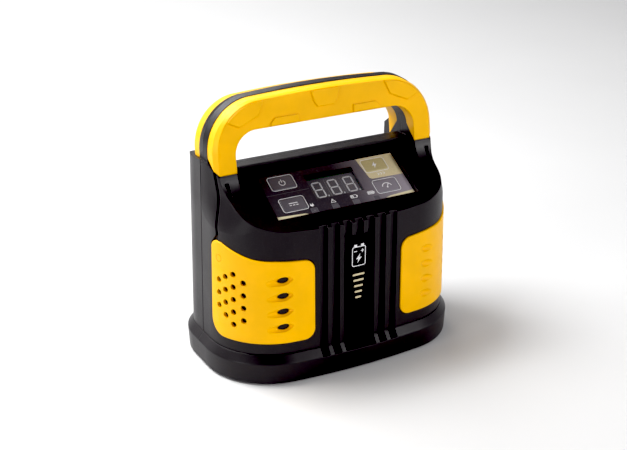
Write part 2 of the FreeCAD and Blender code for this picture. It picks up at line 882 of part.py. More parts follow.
def turned_solid(profile, start, run):
    """A round solid along a line; the profile gives its radius at distances from the start."""
    curve = Part.BSplineCurve()
    curve.interpolate([Vector(radius, 0, along) for along, radius in profile])
    first, last = profile[0], profile[-1]
    closing = [Vector(last[1], 0, last[0]), Vector(0, 0, last[0]), Vector(0, 0, first[0]),
               Vector(first[1], 0, first[0])]
    face = Part.Face(Part.Wire([curve.toShape()] + Part.makePolygon(closing).Edges))
    turned = face.revolve(Vector(0, 0, 0), Vector(0, 0, 1), 360)
    turned.Placement = FreeCAD.Placement(start, FreeCAD.Rotation(Vector(0, 0, 1), run))
    return turned


def louvre_scoops(lift=0.0):
    """Four scoops that slope in and up from the corner and break through near their inner tip.
    Each is cut by a slim teardrop, blunt at the inner tip; lifted outward they stay blind."""
    radius = dim("louvre_radius")
    profile = [(0, 0.4), (2.6, 2.1), (6, radius), (10, 2.9), (15, 2.8), (24.6, 2.6)]
    run = Vector(-dim("louvre_long"), dim("louvre_turn"), -dim("louvre_drop"))
    tools = []
    for step in range(4):
        z = dim("louvre_low") + step * dim("louvre_pitch")
        wall_y = body_insets(z)[1] - dim("flange_half_y")
        inner_tip = Vector(-dim("louvre_x"), wall_y + dim("louvre_bow") - lift, z)
        tools.append(turned_solid(profile, inner_tip, run))
    return tools


def moulded_ring():
    """A fine round mark pressed into the panel above the vent holes."""
    spot = Vector(-dim("flange_half_x") + dim("step_inset") - 4, -20.3, 90.7)
    outer = Part.makeCylinder(2.7, 10, spot, Vector(1, 0, 0))
    inner = Part.makeCylinder(2.35, 10, spot, Vector(1, 0, 0))
    depth = 0.3
    skin = body_band(-3, 80, 100).cut(body_band(depth - dim("panel_proud"), 79, 101))
    return outer.cut(inner).common(skin)


def build_panels():
    panel = panel_shape(0.0, dim("panel_proud"), dim("panel_sunk"))
    rim = [edge for edge in panel.Edges if is_outer_rim(edge)]
    panel = panel.makeFillet(0.7, rim).cut(vent_holes() + [moulded_ring()])
    left = panel.cut(louvre_scoops())
    right = mirrored(panel.cut(louvre_scoops(dim("blind_lift"))))
    keep(solid("left_panel", biggest(left)), "left_panel")
    keep(solid("right_panel", biggest(right)), "right_panel")


def is_outer_rim(edge):
    """True for an edge on the panel's outer face."""
    outer = body_band(-dim("panel_proud"), dim("step_top"), dim("body_top"))
    shell = outer.Shells[0]
    spots = [edge.valueAt(edge.FirstParameter + part * (edge.LastParameter - edge.FirstParameter))
             for part in (0.2, 0.5, 0.8)]
    return all(shell.distToShape(Part.Vertex(spot))[0] < 0.05 for spot in spots)


def main_screw_spots():
    return [(x, y) for x in (0.0, 78.0) for y in (-30.0, 24.0)]


build_case()
build_grips()
build_panels()
doc.recompute()


# ---------------------------------------------------------------- sketched bodies


def origin_plane(body, role):
    return next(item for item in body.Origin.OriginFeatures if item.Role == role)


def sketch_on(body, name, role="XY_Plane"):
    sketch = body.newObject("Sketcher::SketchObject", name)
    sketch.AttachmentSupport = [(origin_plane(body, role), "")]
    sketch.MapMode = "FlatFace"
    return sketch


def centred_rectangle(sketch, wide, long, middle=("0", "0")):
    """A rectangle with bound sides about a bound middle point."""
    corners = [Vector(-1, -1, 0), Vector(1, -1, 0), Vector(1, 1, 0), Vector(-1, 1, 0)]
    first = sketch.GeometryCount
    for i in range(4):
        sketch.addGeometry(Part.LineSegment(corners[i], corners[(i + 1) % 4]))
    for i in range(4):
        follow = first + (i + 1) % 4
        sketch.addConstraint(Sketcher.Constraint("Coincident", first + i, 2, follow, 1))
    for i in (0, 2):
        sketch.addConstraint(Sketcher.Constraint("Horizontal", first + i))
        sketch.addConstraint(Sketcher.Constraint("Vertical", first + i + 1))
    bound = [
        ("DistanceX", (first, 1, first, 2), wide),
        ("DistanceY", (first + 1, 1, first + 1, 2), long),
        ("DistanceX", (-1, 1, first, 2), f"({middle[0]}) + ({wide}) / 2"),
        ("DistanceY", (-1, 1, first + 1, 2), f"({middle[1]}) + ({long}) / 2"),
    ]
    for kind, where, text in bound:
        index = sketch.addConstraint(Sketcher.Constraint(kind, *where, 1.0))
        sketch.setExpression(f"Constraints[{index}]", text)


def circle(sketch, radius, middle=(0.0, 0.0)):
    """A circle with a bound radius at a fixed middle."""
    spot = Vector(middle[0], middle[1], 0)
    index = sketch.addGeometry(Part.Circle(spot, Vector(0, 0, 1), 1.0))
    sketch.addConstraint(Sketcher.Constraint("DistanceX", -1, 1, index, 3, middle[0]))
    sketch.addConstraint(Sketcher.Constraint("DistanceY", -1, 1, index, 3, middle[1]))
    bound = sketch.addConstraint(Sketcher.Constraint("Radius", index, 1.0))
    sketch.setExpression(f"Constraints[{bound}]", radius)


def pad(body, name, sketch, length, reverse=False):
    feature = body.newObject("PartDesign::Pad", name)
    feature.Profile = sketch
    feature.Reversed = reverse
    feature.setExpression("Length", length)
    return feature


def pocket_through(body, name, sketch):
    feature = body.newObject("PartDesign::Pocket", name)
    feature.Profile = sketch
    feature.Type = 1
    feature.Midplane = True
    return feature


# ---------------------------------------------------------------- console and label


def key_spots():
    """Key name to its place on the label: across, up the slope."""
    return {
        "power": ("-dims.key_x", "dims.key_upper"),
        "voltage": ("-dims.key_x", "dims.key_lower"),
        "boost": ("dims.key_x", "dims.key_upper"),
        "current": ("dims.key_x", "dims.key_lower"),
    }


def led_spots():
    return [f"{side} * dims.led_x" for side in ("-2.98", "-1", "1", "2.98")]


def label_sheet(node, top, thick):
    """A flat layer of the label with apertures for the keys, the window and the lamps."""
    body = doc.addObject("PartDesign::Body", node)
    outline = sketch_on(body, f"{node}_outline")
    centred_rectangle(outline, "dims.label_wide", "dims.label_long")
    outline.setExpression("AttachmentOffset.Base.z", top)
    pad(body, f"{node}_sheet", outline, thick, True)
    holes = sketch_on(body, f"{node}_apertures")
    for u, v in key_spots().values():
        wide = "dims.key_wide + 2 * dims.key_gap"
        long = "dims.key_long + 2 * dims.key_gap"
        centred_rectangle(holes, wide, long, (u, v))
    centred_rectangle(holes, "dims.window_wide", "dims.window_long", ("0", "dims.window_v"))
    for u in led_spots():
        centred_rectangle(holes, "dims.led_side", "dims.led_side", (u, "dims.led_v"))
    pocket_through(body, f"{node}_cut", holes)
    on_label(body)
    keep(body, node)


def build_keys():
    """Four key caps with a crowned edge, and the plunger that each pushes with."""
    for key, (u, v) in key_spots().items():
        cap = doc.addObject("PartDesign::Body", f"key_{key}")
        outline = sketch_on(cap, f"key_{key}_outline")
        centred_rectangle(outline, "dims.key_wide", "dims.key_long", (u, v))
        outline.setExpression("AttachmentOffset.Base.z", "0.3")
        block = pad(cap, f"key_{key}_block", outline, "dims.key_thick + 0.3", True)
        doc.recompute()
        upright = [f"Edge{i}" for i, edge in enumerate(block.Shape.Edges, start=1)
                   if edge.BoundBox.ZLength > 1]
        round_off = cap.newObject("PartDesign::Fillet", f"key_{key}_corners")
        round_off.Base = (block, upright)
        round_off.Radius = 1.2
        cap.Tip = round_off
        on_label(cap)
        keep(cap, f"key_{key}")
        stem = doc.addObject("PartDesign::Body", f"plunger_{key}")
        ring = sketch_on(stem, f"plunger_{key}_outline")
        centred_rectangle(ring, "3.2", "3.2", (u, v))
        ring.setExpression("AttachmentOffset.Base.z", "-dims.key_thick")
        pad(stem, f"plunger_{key}_stem", ring, "3.0", True)
        on_label(stem)
        keep(stem, f"plunger_{key}")


def label_box(name, size, middle, low):
    """A box centred on a place on the label, standing up from a depth below it."""
    corner = (f"({middle[0]}) - ({size[0]}) / 2", f"({middle[1]}) - ({size[1]}) / 2", low)
    return box(name, size, corner)


def build_display():
    window = label_box("window_pane", ("dims.window_wide - 0.1", "dims.window_long - 0.1", "1.9"),
                       ("0", "dims.window_v"), "-2.0")
    keep(on_label(group("display_window", [window])), "display_window")
    module = label_box("module_block", ("37.6", "19", "6.2"), ("0", "dims.window_v - 1.3"), "-8.4")
    keep(on_label(group("display_module", [module])), "display_module")
    lenses = []
    lamps = []
    for i, u in enumerate(led_spots(), start=1):
        side = "dims.led_side - 0.1"
        lenses.append(label_box(f"lens_{i}", (side, side, "1.95"), (u, "dims.led_v"), "-2.0"))
        lamps.append(rod(f"lamp_{i}", "1.5", "5.6", (u, "dims.led_v", "-8.4")))
    keep(on_label(group("indicator_lenses", lenses)), "indicator_lenses")
    keep(on_label(group("indicator_lamps", lamps)), "indicator_lamps")
    cases = []
    for i, (u, v) in enumerate(key_spots().values(), start=1):
        cases.append(label_box(f"switch_case_{i}", ("6.2", "6.2", "3.2"), (u, v), "-8.4"))
    keep(on_label(group("key_switches", cases)), "key_switches")
    plain = label_box("display_board_blank", ("dims.label_wide + 8", "37", "dims.board_thick"),
                      ("0", "0"), "-8.4 - dims.board_thick")
    holes = group("display_board_holes", [
        rod(f"display_hole_{i}", "1.2", "4", (str(u), str(v), "-12"))
        for i, (u, v) in enumerate(display_screw_spots(), start=1)])
    keep(on_label(cut("display_board", plain, holes)), "display_board")
    screws = []
    for i, (u, v) in enumerate(display_screw_spots(), start=1):
        head = rod(f"display_screw_head_{i}", "2.3", "1.4",
                   (str(u), str(v), "-9.8 - dims.board_thick"))
        shank = rod(f"display_screw_shank_{i}", "1.2", "4.0 + dims.board_thick",
                    (str(u), str(v), "-8.4 - dims.board_thick"))
        screws.append(fuse(f"display_screw_{i}", [head, shank]))
    keep(on_label(group("display_screws", screws)), "display_screws")


def build_plate():
    wide = "dims.plate_wide - 0.2"
    tall = "dims.plate_high - dims.plate_low - 0.2"
    front = "-dims.flange_half_y + dims.step_inset + dims.groove_deep - 2.2"
    low = (f"-({wide}) / 2", front, "dims.plate_low + 0.1")
    keep(group("front_plate", [box("plate_blank", (wide, "2.2", tall), low)]), "front_plate")


# ---------------------------------------------------------------- inside the case


def build_transformer():
    """A laminated iron core with two windows, its winding, and the strap that holds it down."""
    x, y, z = -41.0, 6.0, 4.8
    core = box("core_stack", ("60", "30", "50"), (str(x - 30), str(y - 15), str(z)))
    windows = group("core_windows", [
        box("core_window_left", ("10", "60", "30"), (str(x - 20), str(y - 30), str(z + 10))),
        box("core_window_right", ("10", "60", "30"), (str(x + 10), str(y - 30), str(z + 10)))])
    keep(cut("transformer_core", core, windows), "transformer_core")
    coil = box("coil_block", ("39.6", "50", "29.6"), (str(x - 19.8), str(y - 25), str(z + 10.2)))
    limb = box("coil_limb", ("20", "60", "40"), (str(x - 10), str(y - 30), str(z + 5)))
    sides = group("coil_outside", [
        limb,
        box("coil_clear", ("80", "30.4", "1"), (str(x - 40), str(y - 15.2), str(z + 60)))])
    keep(cut("transformer_winding", coil, sides), "transformer_winding")
    outer = box("strap_block", ("63", "20", "51.5"), (str(x - 31.5), str(y - 10), str(z)))
    inner = box("strap_hollow", ("60.2", "24", "50.1"), (str(x - 30.1), str(y - 12), str(z - 0.01)))
    feet = group("strap_feet", [
        box("strap_foot_left", ("9", "20", "1.5"), (str(x - 39.5), str(y - 10), str(z))),
        box("strap_foot_right", ("9", "20", "1.5"), (str(x + 30.5), str(y - 10), str(z)))])
    strap = fuse("strap_shape", [cut("strap_arch", outer, inner), feet])
    bores = group("strap_bores", [
        rod("strap_bore_left", "1.6", "10", (str(x - 35.5), str(y), "0")),
        rod("strap_bore_right", "1.6", "10", (str(x + 35.5), str(y), "0"))])
    keep(cut("transformer_strap", strap, bores), "transformer_strap")
    rest = box("rest_block", ("80", "26", "1.2"), (str(x - 40), str(y - 13), str(z - 1.2)))
    keep(group("transformer_pad", [rest]), "transformer_pad")


def build_main_board():
    z = "dims.main_board_z"
    plain = box("main_board_blank", ("90", "66", "dims.board_thick"), ("-6", "-36", z))
    holes = group("main_board_holes", [
        rod(f"main_hole_{i}", "1.25", "8", (str(x), str(y), "dims.main_board_z - 3"))
        for i, (x, y) in enumerate(main_screw_spots(), start=1)])
    keep(cut("main_board", plain, holes), "main_board")
    top = "dims.main_board_z + dims.board_thick"
    screws = []
    for i, (x, y) in enumerate(main_screw_spots(), start=1):
        shank = rod(f"board_shank_{i}", "1.25", "8", (str(x), str(y), f"{top} - 8"))
        head = rod(f"board_head_{i}", "2.6", "1.8", (str(x), str(y), top))
        screws.append(fuse(f"board_screw_{i}", [shank, head]))
    keep(group("board_screws", screws), "board_screws")
    cans = [rod(f"can_{i}", "8", "30", (str(x), "-22", top)) for i, x in enumerate((24, 42), start=1)]
    keep(group("filter_capacitors", cans), "filter_capacitors")
    relay = box("relay_block", ("19", "15", "15.5"), ("52", "-29", top))
    keep(group("output_relay", [relay]), "output_relay")
    ring = rod("choke_ring", "13", "10", ("8", "8", top))
    bore = rod("choke_bore", "6", "12", ("8", "8", f"{top} - 1"))
    keep(cut("filter_choke", ring, bore), "filter_choke")
    base = box("fuse_base", ("26", "9", "5"), ("44", "-6", top))
    slot = rod("fuse_slot", "3.2", "22", ("46", "-1.5", f"{top} + 6"), Vector(1, 0, 0))
    keep(cut("fuse_holder", base, slot), "fuse_holder")
    fuse_tube = rod("fuse_tube", "3.15", "21.8", ("46.1", "-1.5", f"{top} + 6"), Vector(1, 0, 0))
    keep(group("fuse", [fuse_tube]), "fuse")
    bridge = box("bridge_block", ("22", "4", "18"), ("35", "7.9", top))
    keep(group("bridge_rectifier", [bridge]), "bridge_rectifier")


def build_heat_sink():
    """A finned block: one fin sketched and padded, then repeated along the back plate."""
    body = doc.addObject("PartDesign::Body", "heat_sink")
    back = sketch_on(body, "heat_sink_back")
    centred_rectangle(back, "40", "3", ("46", "13.5"))
    back.setExpression("AttachmentOffset.Base.z", "dims.main_board_z + dims.board_thick")
    pad(body, "heat_sink_plate", back, "34")
    fin = sketch_on(body, "heat_sink_fin")
    centred_rectangle(fin, "1.6", "10", ("26.9", "19.5"))
    fin.setExpression("AttachmentOffset.Base.z", "dims.main_board_z + dims.board_thick")
    first = pad(body, "heat_sink_first_fin", fin, "34")
    row = body.newObject("PartDesign::LinearPattern", "heat_sink_fins")
    row.Originals = [first]
    row.Direction = (fin, ["H_Axis"])
    row.Length = 38.0
    row.Occurrences = 8
    body.Tip = row
    keep(body, "heat_sink")


def build_fan():
    """An axial fan against the rear wall: square frame with struts, spindle and bladed rotor."""
    side = dim("fan_side")
    front = 36.5
    spot = f"{front}"
    middle = Vector(0, front, dim("fan_z"))
    deep = dim("fan_deep")
    block = box("fan_block", ("dims.fan_side", "dims.fan_deep", "dims.fan_side"),
                ("-dims.fan_side / 2", spot, "dims.fan_z - dims.fan_side / 2"))
    duct = rod("fan_duct", "dims.fan_side / 2 - 1.6", "dims.fan_deep - 2.4",
               ("0", f"{front - 0.01}", "dims.fan_z"), Vector(0, 1, 0))
    ring = rod("fan_outlet", "dims.fan_side / 2 - 2.4", "6",
               ("0", f"{front + deep - 4}", "dims.fan_z"), Vector(0, 1, 0))
    corners = [(x, z) for x in (-25.0, 25.0) for z in (-25.0, 25.0)]
    eyes = [rod(f"fan_eye_{i}", "1.7", "dims.fan_deep + 2",
                (str(x), f"{front - 1}", f"dims.fan_z + {z}"), Vector(0, 1, 0))
            for i, (x, z) in enumerate(corners, start=1)]
    housing = cut("fan_housing", block, group("fan_cuts", [duct, ring, *eyes]))
    hub = rod("fan_hub", "11", "2.4", ("0", f"{front + deep - 2.4}", "dims.fan_z"), Vector(0, 1, 0))
    struts = [
        box("fan_strut_flat", ("dims.fan_side - 3", "2.4", "3"),
            ("-dims.fan_side / 2 + 1.5", f"{front + deep - 2.4}", "dims.fan_z - 1.5")),
        box("fan_strut_upright", ("3", "2.4", "dims.fan_side - 3"),
            ("-1.5", f"{front + deep - 2.4}", "dims.fan_z - dims.fan_side / 2 + 1.5"))]
    spindle = rod("fan_pin", "dims.fan_spindle", "dims.fan_deep - 3",
                  ("0", f"{front + 2}", "dims.fan_z"), Vector(0, 1, 0))
    keep(fuse("fan_frame", [housing, hub, spindle, *struts]), "fan_frame")
    rotor = Part.makeCylinder(11.5, 10.4, middle + Vector(0, 1, 0), Vector(0, 1, 0))
    blade = Part.makeBox(16.0, 9.0, 1.4, Vector(10.8, -4.5, -0.7))
    blade.rotate(Vector(0, 0, 0), Vector(1, 0, 0), 38)
    blades = []
    count = 7
    for i in range(count):
        one = blade.copy()
        one.rotate(Vector(0, 0, 0), Vector(0, 1, 0), 360.0 / count * i)
        one.translate(middle + Vector(0, 6.2, 0))
        blades.append(one)
    rotor = rotor.fuse(blades)
    bore = Part.makeCylinder(dim("fan_bore"), 20, middle + Vector(0, -1, 0), Vector(0, 1, 0))
    keep(solid("fan_rotor", rotor.cut(bore).removeSplitter()), "fan_rotor")
    screws = []
    for i, (x, z) in enumerate(corners, start=1):
        head = rod(f"fan_head_{i}", "2.8", "2", (str(x), f"{front - 2}", f"dims.fan_z + {z}"),
                   Vector(0, 1, 0))
        shank = rod(f"fan_shank_{i}", "1.68", "dims.fan_deep",
                    (str(x), spot, f"dims.fan_z + {z}"), Vector(0, 1, 0))
        screws.append(fuse(f"fan_screw_{i}", [head, shank]))
    keep(group("fan_screws", screws), "fan_screws")


def build_glands():
    """Cord entries in the rear wall: flange in its seat, tapered nose outside, bore right through."""
    names = ("mains_gland", "lead_gland_plus", "lead_gland_minus")
    bores = ("dims.gland_bore", "dims.lead_bore", "dims.lead_bore")
    back = Vector(0, 1, 0)
    for node, bore, (x, z, seat) in zip(names, bores, gland_spots()):
        neck = rod(f"{node}_neck", str(seat), "6.6", (str(x), "46", str(z)), back)
        flange = rod(f"{node}_flange", str(seat + 2.5), "2.2", (str(x), "52.6", str(z)), back)
        nose = doc.addObject("Part::Cone", f"{node}_nose")
        nose.Radius1 = seat + 0.6
        nose.Radius2 = seat - 0.6
        nose.Height = 5.0
        nose.Placement.Rotation = FreeCAD.Rotation(Vector(0, 0, 1), back)
        place(nose, (str(x), "54.8", str(z)))
        inner = rod(f"{node}_bore", bore, "30", (str(x), "40", str(z)), back)
        keep(cut(node, fuse(f"{node}_shape", [neck, flange, nose]), inner), node)


def build_feet():
    """Four turned rubber feet pressed up into the case's bottom."""
    feet = []
    for i, (x, y) in enumerate(foot_spots(), start=1):
        disc = rod(f"foot_disc_{i}", "dims.foot_radius", "dims.floor_gap", (str(x), str(y), "0"))
        peg = rod(f"foot_peg_{i}", "2.5", "4.5", (str(x), str(y), "0"))
        feet.append(fuse(f"foot_{i}", [disc, peg]))
    keep(group("rubber_feet", feet), "rubber_feet")


def build_case_screws():
    screws = []
    back = Vector(0, 1, 0)
    for i, (x, z) in enumerate(case_screw_spots(), start=1):
        shank = rod(f"case_shank_{i}", "dims.screw_shank", "32", (str(x), "-10", str(z)), back)
        head = rod(f"case_head_{i}", "dims.screw_head", "2.4", (str(x), "22", str(z)), back)
        screws.append(fuse(f"case_screw_{i}", [shank, head]))
    keep(group("case_screws", screws), "case_screws")


def build_ribbon():
    """The flat cable from the display board down to the main board, in straight folded runs."""
    path = [Vector(4, -30.0, 104.0), Vector(4, -33.0, 92.0), Vector(4, -33.0, 30.0),
            Vector(4, -30.0, 16.2)]
    thick = Vector(0, 1.0, 0)
    outline = path + [point + thick for point in reversed(path)]
    keep(solid("ribbon_cable", prism(outline, Vector(10, 0, 0))), "ribbon_cable")


label_sheet("label_plate", "-dims.overlay_thick", "dims.label_thick")
label_sheet("keypad_overlay", "0", "dims.overlay_thick")
build_keys()
build_display()
build_plate()
build_transformer()
build_main_board()
build_heat_sink()
build_fan()
build_glands()
build_feet()
build_case_screws()
build_ribbon()
doc.recompute()


# ---------------------------------------------------------------- checks and files


def check_document():
    for thing in doc.Objects:
        bad = [word for word in thing.State if word in ("Invalid", "Error")]
        if bad:
            raise RuntimeError(f"{thing.Name} is {bad}")
    for node, thing in nodes.items():
        shape = thing.Shape
        if shape.isNull() or not shape.isValid() or not shape.Solids:
            raise RuntimeError(f"{node} has no valid solid")


def write_nodes():
    os.makedirs("parts", exist_ok=True)
    for node, thing in nodes.items():
        thing.Shape.exportStep(os.path.join("parts", f"{node}.step"))
        print(f"{node}: {len(thing.Shape.Solids)} solid(s), {thing.Shape.Volume / 1000:.2f} cm3")


check_document()
write_nodes()
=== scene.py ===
"""Looks of a portable car battery charger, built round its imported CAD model.

Every place comes from the CAD nodes' boxes. Metres throughout; the label artwork is laid out in
millimetres on the label's own axes: u to the right, v up the slope, w out of the surface.
"""

import json
import math

import bpy
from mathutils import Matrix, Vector


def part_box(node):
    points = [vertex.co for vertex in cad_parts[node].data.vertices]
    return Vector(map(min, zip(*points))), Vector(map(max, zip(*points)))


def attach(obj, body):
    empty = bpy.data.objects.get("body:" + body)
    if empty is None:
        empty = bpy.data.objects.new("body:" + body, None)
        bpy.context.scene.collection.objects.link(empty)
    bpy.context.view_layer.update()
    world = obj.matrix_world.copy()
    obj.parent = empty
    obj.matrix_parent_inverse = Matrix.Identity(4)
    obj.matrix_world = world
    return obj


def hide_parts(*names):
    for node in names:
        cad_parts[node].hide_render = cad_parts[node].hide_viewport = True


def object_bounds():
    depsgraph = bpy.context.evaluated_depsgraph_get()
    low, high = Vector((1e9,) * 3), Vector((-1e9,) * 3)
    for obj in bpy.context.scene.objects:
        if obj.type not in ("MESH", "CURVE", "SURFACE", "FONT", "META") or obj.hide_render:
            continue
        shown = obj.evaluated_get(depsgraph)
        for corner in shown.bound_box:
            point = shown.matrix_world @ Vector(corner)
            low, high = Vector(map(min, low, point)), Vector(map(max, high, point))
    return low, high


MM = 0.001

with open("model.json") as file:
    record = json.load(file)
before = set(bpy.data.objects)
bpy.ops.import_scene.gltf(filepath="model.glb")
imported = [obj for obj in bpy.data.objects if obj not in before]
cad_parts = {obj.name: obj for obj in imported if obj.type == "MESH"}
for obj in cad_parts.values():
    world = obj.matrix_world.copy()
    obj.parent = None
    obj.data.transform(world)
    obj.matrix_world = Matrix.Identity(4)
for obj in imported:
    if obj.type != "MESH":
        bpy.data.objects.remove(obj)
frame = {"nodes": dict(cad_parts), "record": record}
CAD_LOW, CAD_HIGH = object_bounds()
NODES = frame["nodes"]
JOINTS = {joint["name"]: joint for joint in frame["record"]["behaviour"]["joints"]}


# ---------------------------------------------------------------- nodes of a material


def new_material(name):
    """A node material, with its node tree and its Principled shader."""
    material = bpy.data.materials.new(name)
    material.use_nodes = True
    tree = material.node_tree
    shader = tree.nodes["Principled BSDF"]
    return material, tree, shader


def object_coordinates(tree):
    return tree.nodes.new("ShaderNodeTexCoord").outputs["Object"]


def noise(tree, scale, detail=3.0, roughness=0.55, source=None):
    """A noise value over the object's own coordinates; scale is cycles per metre."""
    node = tree.nodes.new("ShaderNodeTexNoise")
    node.inputs["Scale"].default_value = scale
    node.inputs["Detail"].default_value = detail
    node.inputs["Roughness"].default_value = roughness
    tree.links.new(source or object_coordinates(tree), node.inputs["Vector"])
    return node.outputs["Fac"]


def remap(tree, value, low, high, to_low, to_high):
    node = tree.nodes.new("ShaderNodeMapRange")
    tree.links.new(value, node.inputs["Value"])
    node.inputs["From Min"].default_value = low
    node.inputs["From Max"].default_value = high
    node.inputs["To Min"].default_value = to_low
    node.inputs["To Max"].default_value = to_high
    return node.outputs["Result"]


def blend_colours(tree, factor, first, second):
    node = tree.nodes.new("ShaderNodeMix")
    node.data_type = "RGBA"
    tree.links.new(factor, node.inputs["Factor"])
    for socket, colour in (("A", first), ("B", second)):
        target = next(s for s in node.inputs if s.name == socket and s.type == "RGBA")
        if isinstance(colour, bpy.types.NodeSocket):
            tree.links.new(colour, target)
        else:
            target.default_value = (*colour, 1.0)
    return next(s for s in node.outputs if s.type == "RGBA")


def bump(tree, shader, height, depth, strength=1.0, edge=0.0):
    """Relief on the shader's normal, over edges rounded by a radius; depth and edge in metres."""
    node = tree.nodes.new("ShaderNodeBump")
    node.inputs["Strength"].default_value = strength
    node.inputs["Distance"].default_value = depth
    tree.links.new(height, node.inputs["Height"])
    if edge:
        rounding = tree.nodes.new("ShaderNodeBevel")
        rounding.samples = 6
        rounding.inputs["Radius"].default_value = edge
        tree.links.new(rounding.outputs["Normal"], node.inputs["Normal"])
    tree.links.new(node.outputs["Normal"], shader.inputs["Normal"])


def moulded_plastic(
    name, colour, rough, grain=2600.0, depth=0.00006, shade=0.16, edge=0.0, shine=0.5
):
    """Injection-moulded plastic: fine spark-eroded grain, slight mottling and uneven gloss."""
    material, tree, shader = new_material(name)
    shader.inputs["Specular IOR Level"].default_value = shine
    dark = tuple(channel * (1 - shade) for channel in colour)
    light = tuple(min(channel * (1 + shade), 1.0) for channel in colour)
    mottle = noise(tree, 38.0, 4.0)
    base = blend_colours(tree, remap(tree, mottle, 0.35, 0.65, 0, 1), dark, light)
    speck = noise(tree, grain * 0.7, 2.0)
    flecked = blend_colours(tree, remap(tree, speck, 0.55, 0.75, 0, 0.35), base, light)
    tree.links.new(flecked, shader.inputs["Base Color"])
    gloss = remap(tree, noise(tree, 90.0, 3.0), 0.3, 0.7, rough - 0.05, rough + 0.06)
    tree.links.new(gloss, shader.inputs["Roughness"])
    bump(tree, shader, noise(tree, grain, 3.0), depth, 1.0, edge)
    return material


def case_plastic(name):
    """Charcoal case plastic: cloudy dark tone with a fine grain, over slightly rounded edges."""
    material, tree, shader = new_material(name)
    place = object_coordinates(tree)
    grain = noise(tree, 1500.0, 3.0, 0.6, place)
    cloud = noise(tree, 30.0, 4.0, 0.6, place)
    shade = remap(tree, cloud, 0.35, 0.65, 0, 1)
    base = blend_colours(tree, shade, (0.0050, 0.0042, 0.0050), (0.0085, 0.0070, 0.0082))
    fleck = remap(tree, grain, 0.56, 0.72, 0, 0.6)
    flecked = blend_colours(tree, fleck, base, (0.022, 0.019, 0.022))
    tree.links.new(flecked, shader.inputs["Base Color"])
    gloss = remap(tree, cloud, 0.3, 0.7, 0.34, 0.44)
    tree.links.new(gloss, shader.inputs["Roughness"])
    shader.inputs["Specular IOR Level"].default_value = 0.36
    bump(tree, shader, grain, 0.00010, 0.7, 0.0009)
    return material


def gradient_film(name, near, far, start, stop, rough, axis=0, shine=0.5):
    """Film whose tone runs from one colour to another along an axis of the part; on the label, keys
    and display the lighter end is a painted reflection.
    """
    material, tree, shader = new_material(name)
    shader.inputs["Specular IOR Level"].default_value = shine
    place = object_coordinates(tree)
    split = tree.nodes.new("ShaderNodeSeparateXYZ")
    tree.links.new(place, split.inputs["Vector"])
    along = remap(tree, split.outputs[axis], start, stop, 0, 1)
    base = blend_colours(tree, along, near, far)
    dust = noise(tree, 900.0, 2.0, 0.5, place)
    speckled = blend_colours(tree, remap(tree, dust, 0.5, 0.8, 0, 0.05), base, (0.5, 0.5, 0.52))
    tree.links.new(speckled, shader.inputs["Base Color"])
    gloss = remap(tree, noise(tree, 70.0, 3.0, 0.5, place), 0.3, 0.7, rough - 0.04, rough + 0.05)
    tree.links.new(gloss, shader.inputs["Roughness"])
    bump(tree, shader, noise(tree, 3200.0, 2.0, 0.5, place), 0.00002, 0.6)
    return material


def ink(name, colour, rough=0.42):
    """Screen-printed ink: even colour with a slight grain."""
    material, tree, shader = new_material(name)
    grain = noise(tree, 2400.0, 2.0)
    dark = tuple(channel * 0.82 for channel in colour)
    tone = blend_colours(tree, remap(tree, grain, 0.35, 0.65, 0, 1), dark, colour)
    tree.links.new(tone, shader.inputs["Base Color"])
    gloss = remap(tree, grain, 0.3, 0.7, rough - 0.05, rough + 0.05)
    tree.links.new(gloss, shader.inputs["Roughness"])
    bump(tree, shader, grain, 0.00002, 0.5)
    return material


def metal(name, colour, rough, streak=1400.0, squash=(1.0, 1.0, 0.06)):
    """Rolled or drawn metal with fine streaks along one axis."""
    material, tree, shader = new_material(name)
    mapping = tree.nodes.new("ShaderNodeMapping")
    mapping.inputs["Scale"].default_value = squash
    tree.links.new(object_coordinates(tree), mapping.inputs["Vector"])
    lines = noise(tree, streak, 3.0, 0.6, mapping.outputs["Vector"])
    dark = tuple(channel * 0.7 for channel in colour)
    tone = blend_colours(tree, remap(tree, lines, 0.35, 0.65, 0, 1), dark, colour)
    tree.links.new(tone, shader.inputs["Base Color"])
    shader.inputs["Metallic"].default_value = 1.0
    gloss = remap(tree, lines, 0.3, 0.7, rough - 0.06, rough + 0.1)
    tree.links.new(gloss, shader.inputs["Roughness"])
    bump(tree, shader, lines, 0.00003, 0.5)
    return material


def clear(name, colour, rough, alpha):
    """Thin clear plastic or glass, faintly scuffed."""
    material, tree, shader = new_material(name)
    scuff = noise(tree, 420.0, 4.0)
    dull = tuple(channel * 0.9 for channel in colour)
    tone = blend_colours(tree, remap(tree, scuff, 0.4, 0.6, 0, 1), colour, dull)
    tree.links.new(tone, shader.inputs["Base Color"])
    tree.links.new(remap(tree, scuff, 0.4, 0.75, rough, rough + 0.12), shader.inputs["Roughness"])
    shader.inputs["Alpha"].default_value = alpha
    shader.inputs["IOR"].default_value = 1.49
    bump(tree, shader, scuff, 0.00001, 0.4)
    return material


def solder_mask(name):
    """Green circuit board with darker tracks under the mask."""
    material, tree, shader = new_material(name)
    tracks = tree.nodes.new("ShaderNodeTexBrick")
    tracks.inputs["Scale"].default_value = 220.0
    tracks.inputs["Color1"].default_value = (0.010, 0.105, 0.045, 1)
    tracks.inputs["Color2"].default_value = (0.016, 0.150, 0.062, 1)
    tracks.inputs["Mortar"].default_value = (0.030, 0.240, 0.100, 1)
    tree.links.new(object_coordinates(tree), tracks.inputs["Vector"])
    tree.links.new(tracks.outputs["Color"], shader.inputs["Base Color"])
    gloss = remap(tree, noise(tree, 160.0), 0.3, 0.7, 0.24, 0.36)
    tree.links.new(gloss, shader.inputs["Roughness"])
    bump(tree, shader, tracks.outputs["Fac"], 0.00005, 0.6)
    return material


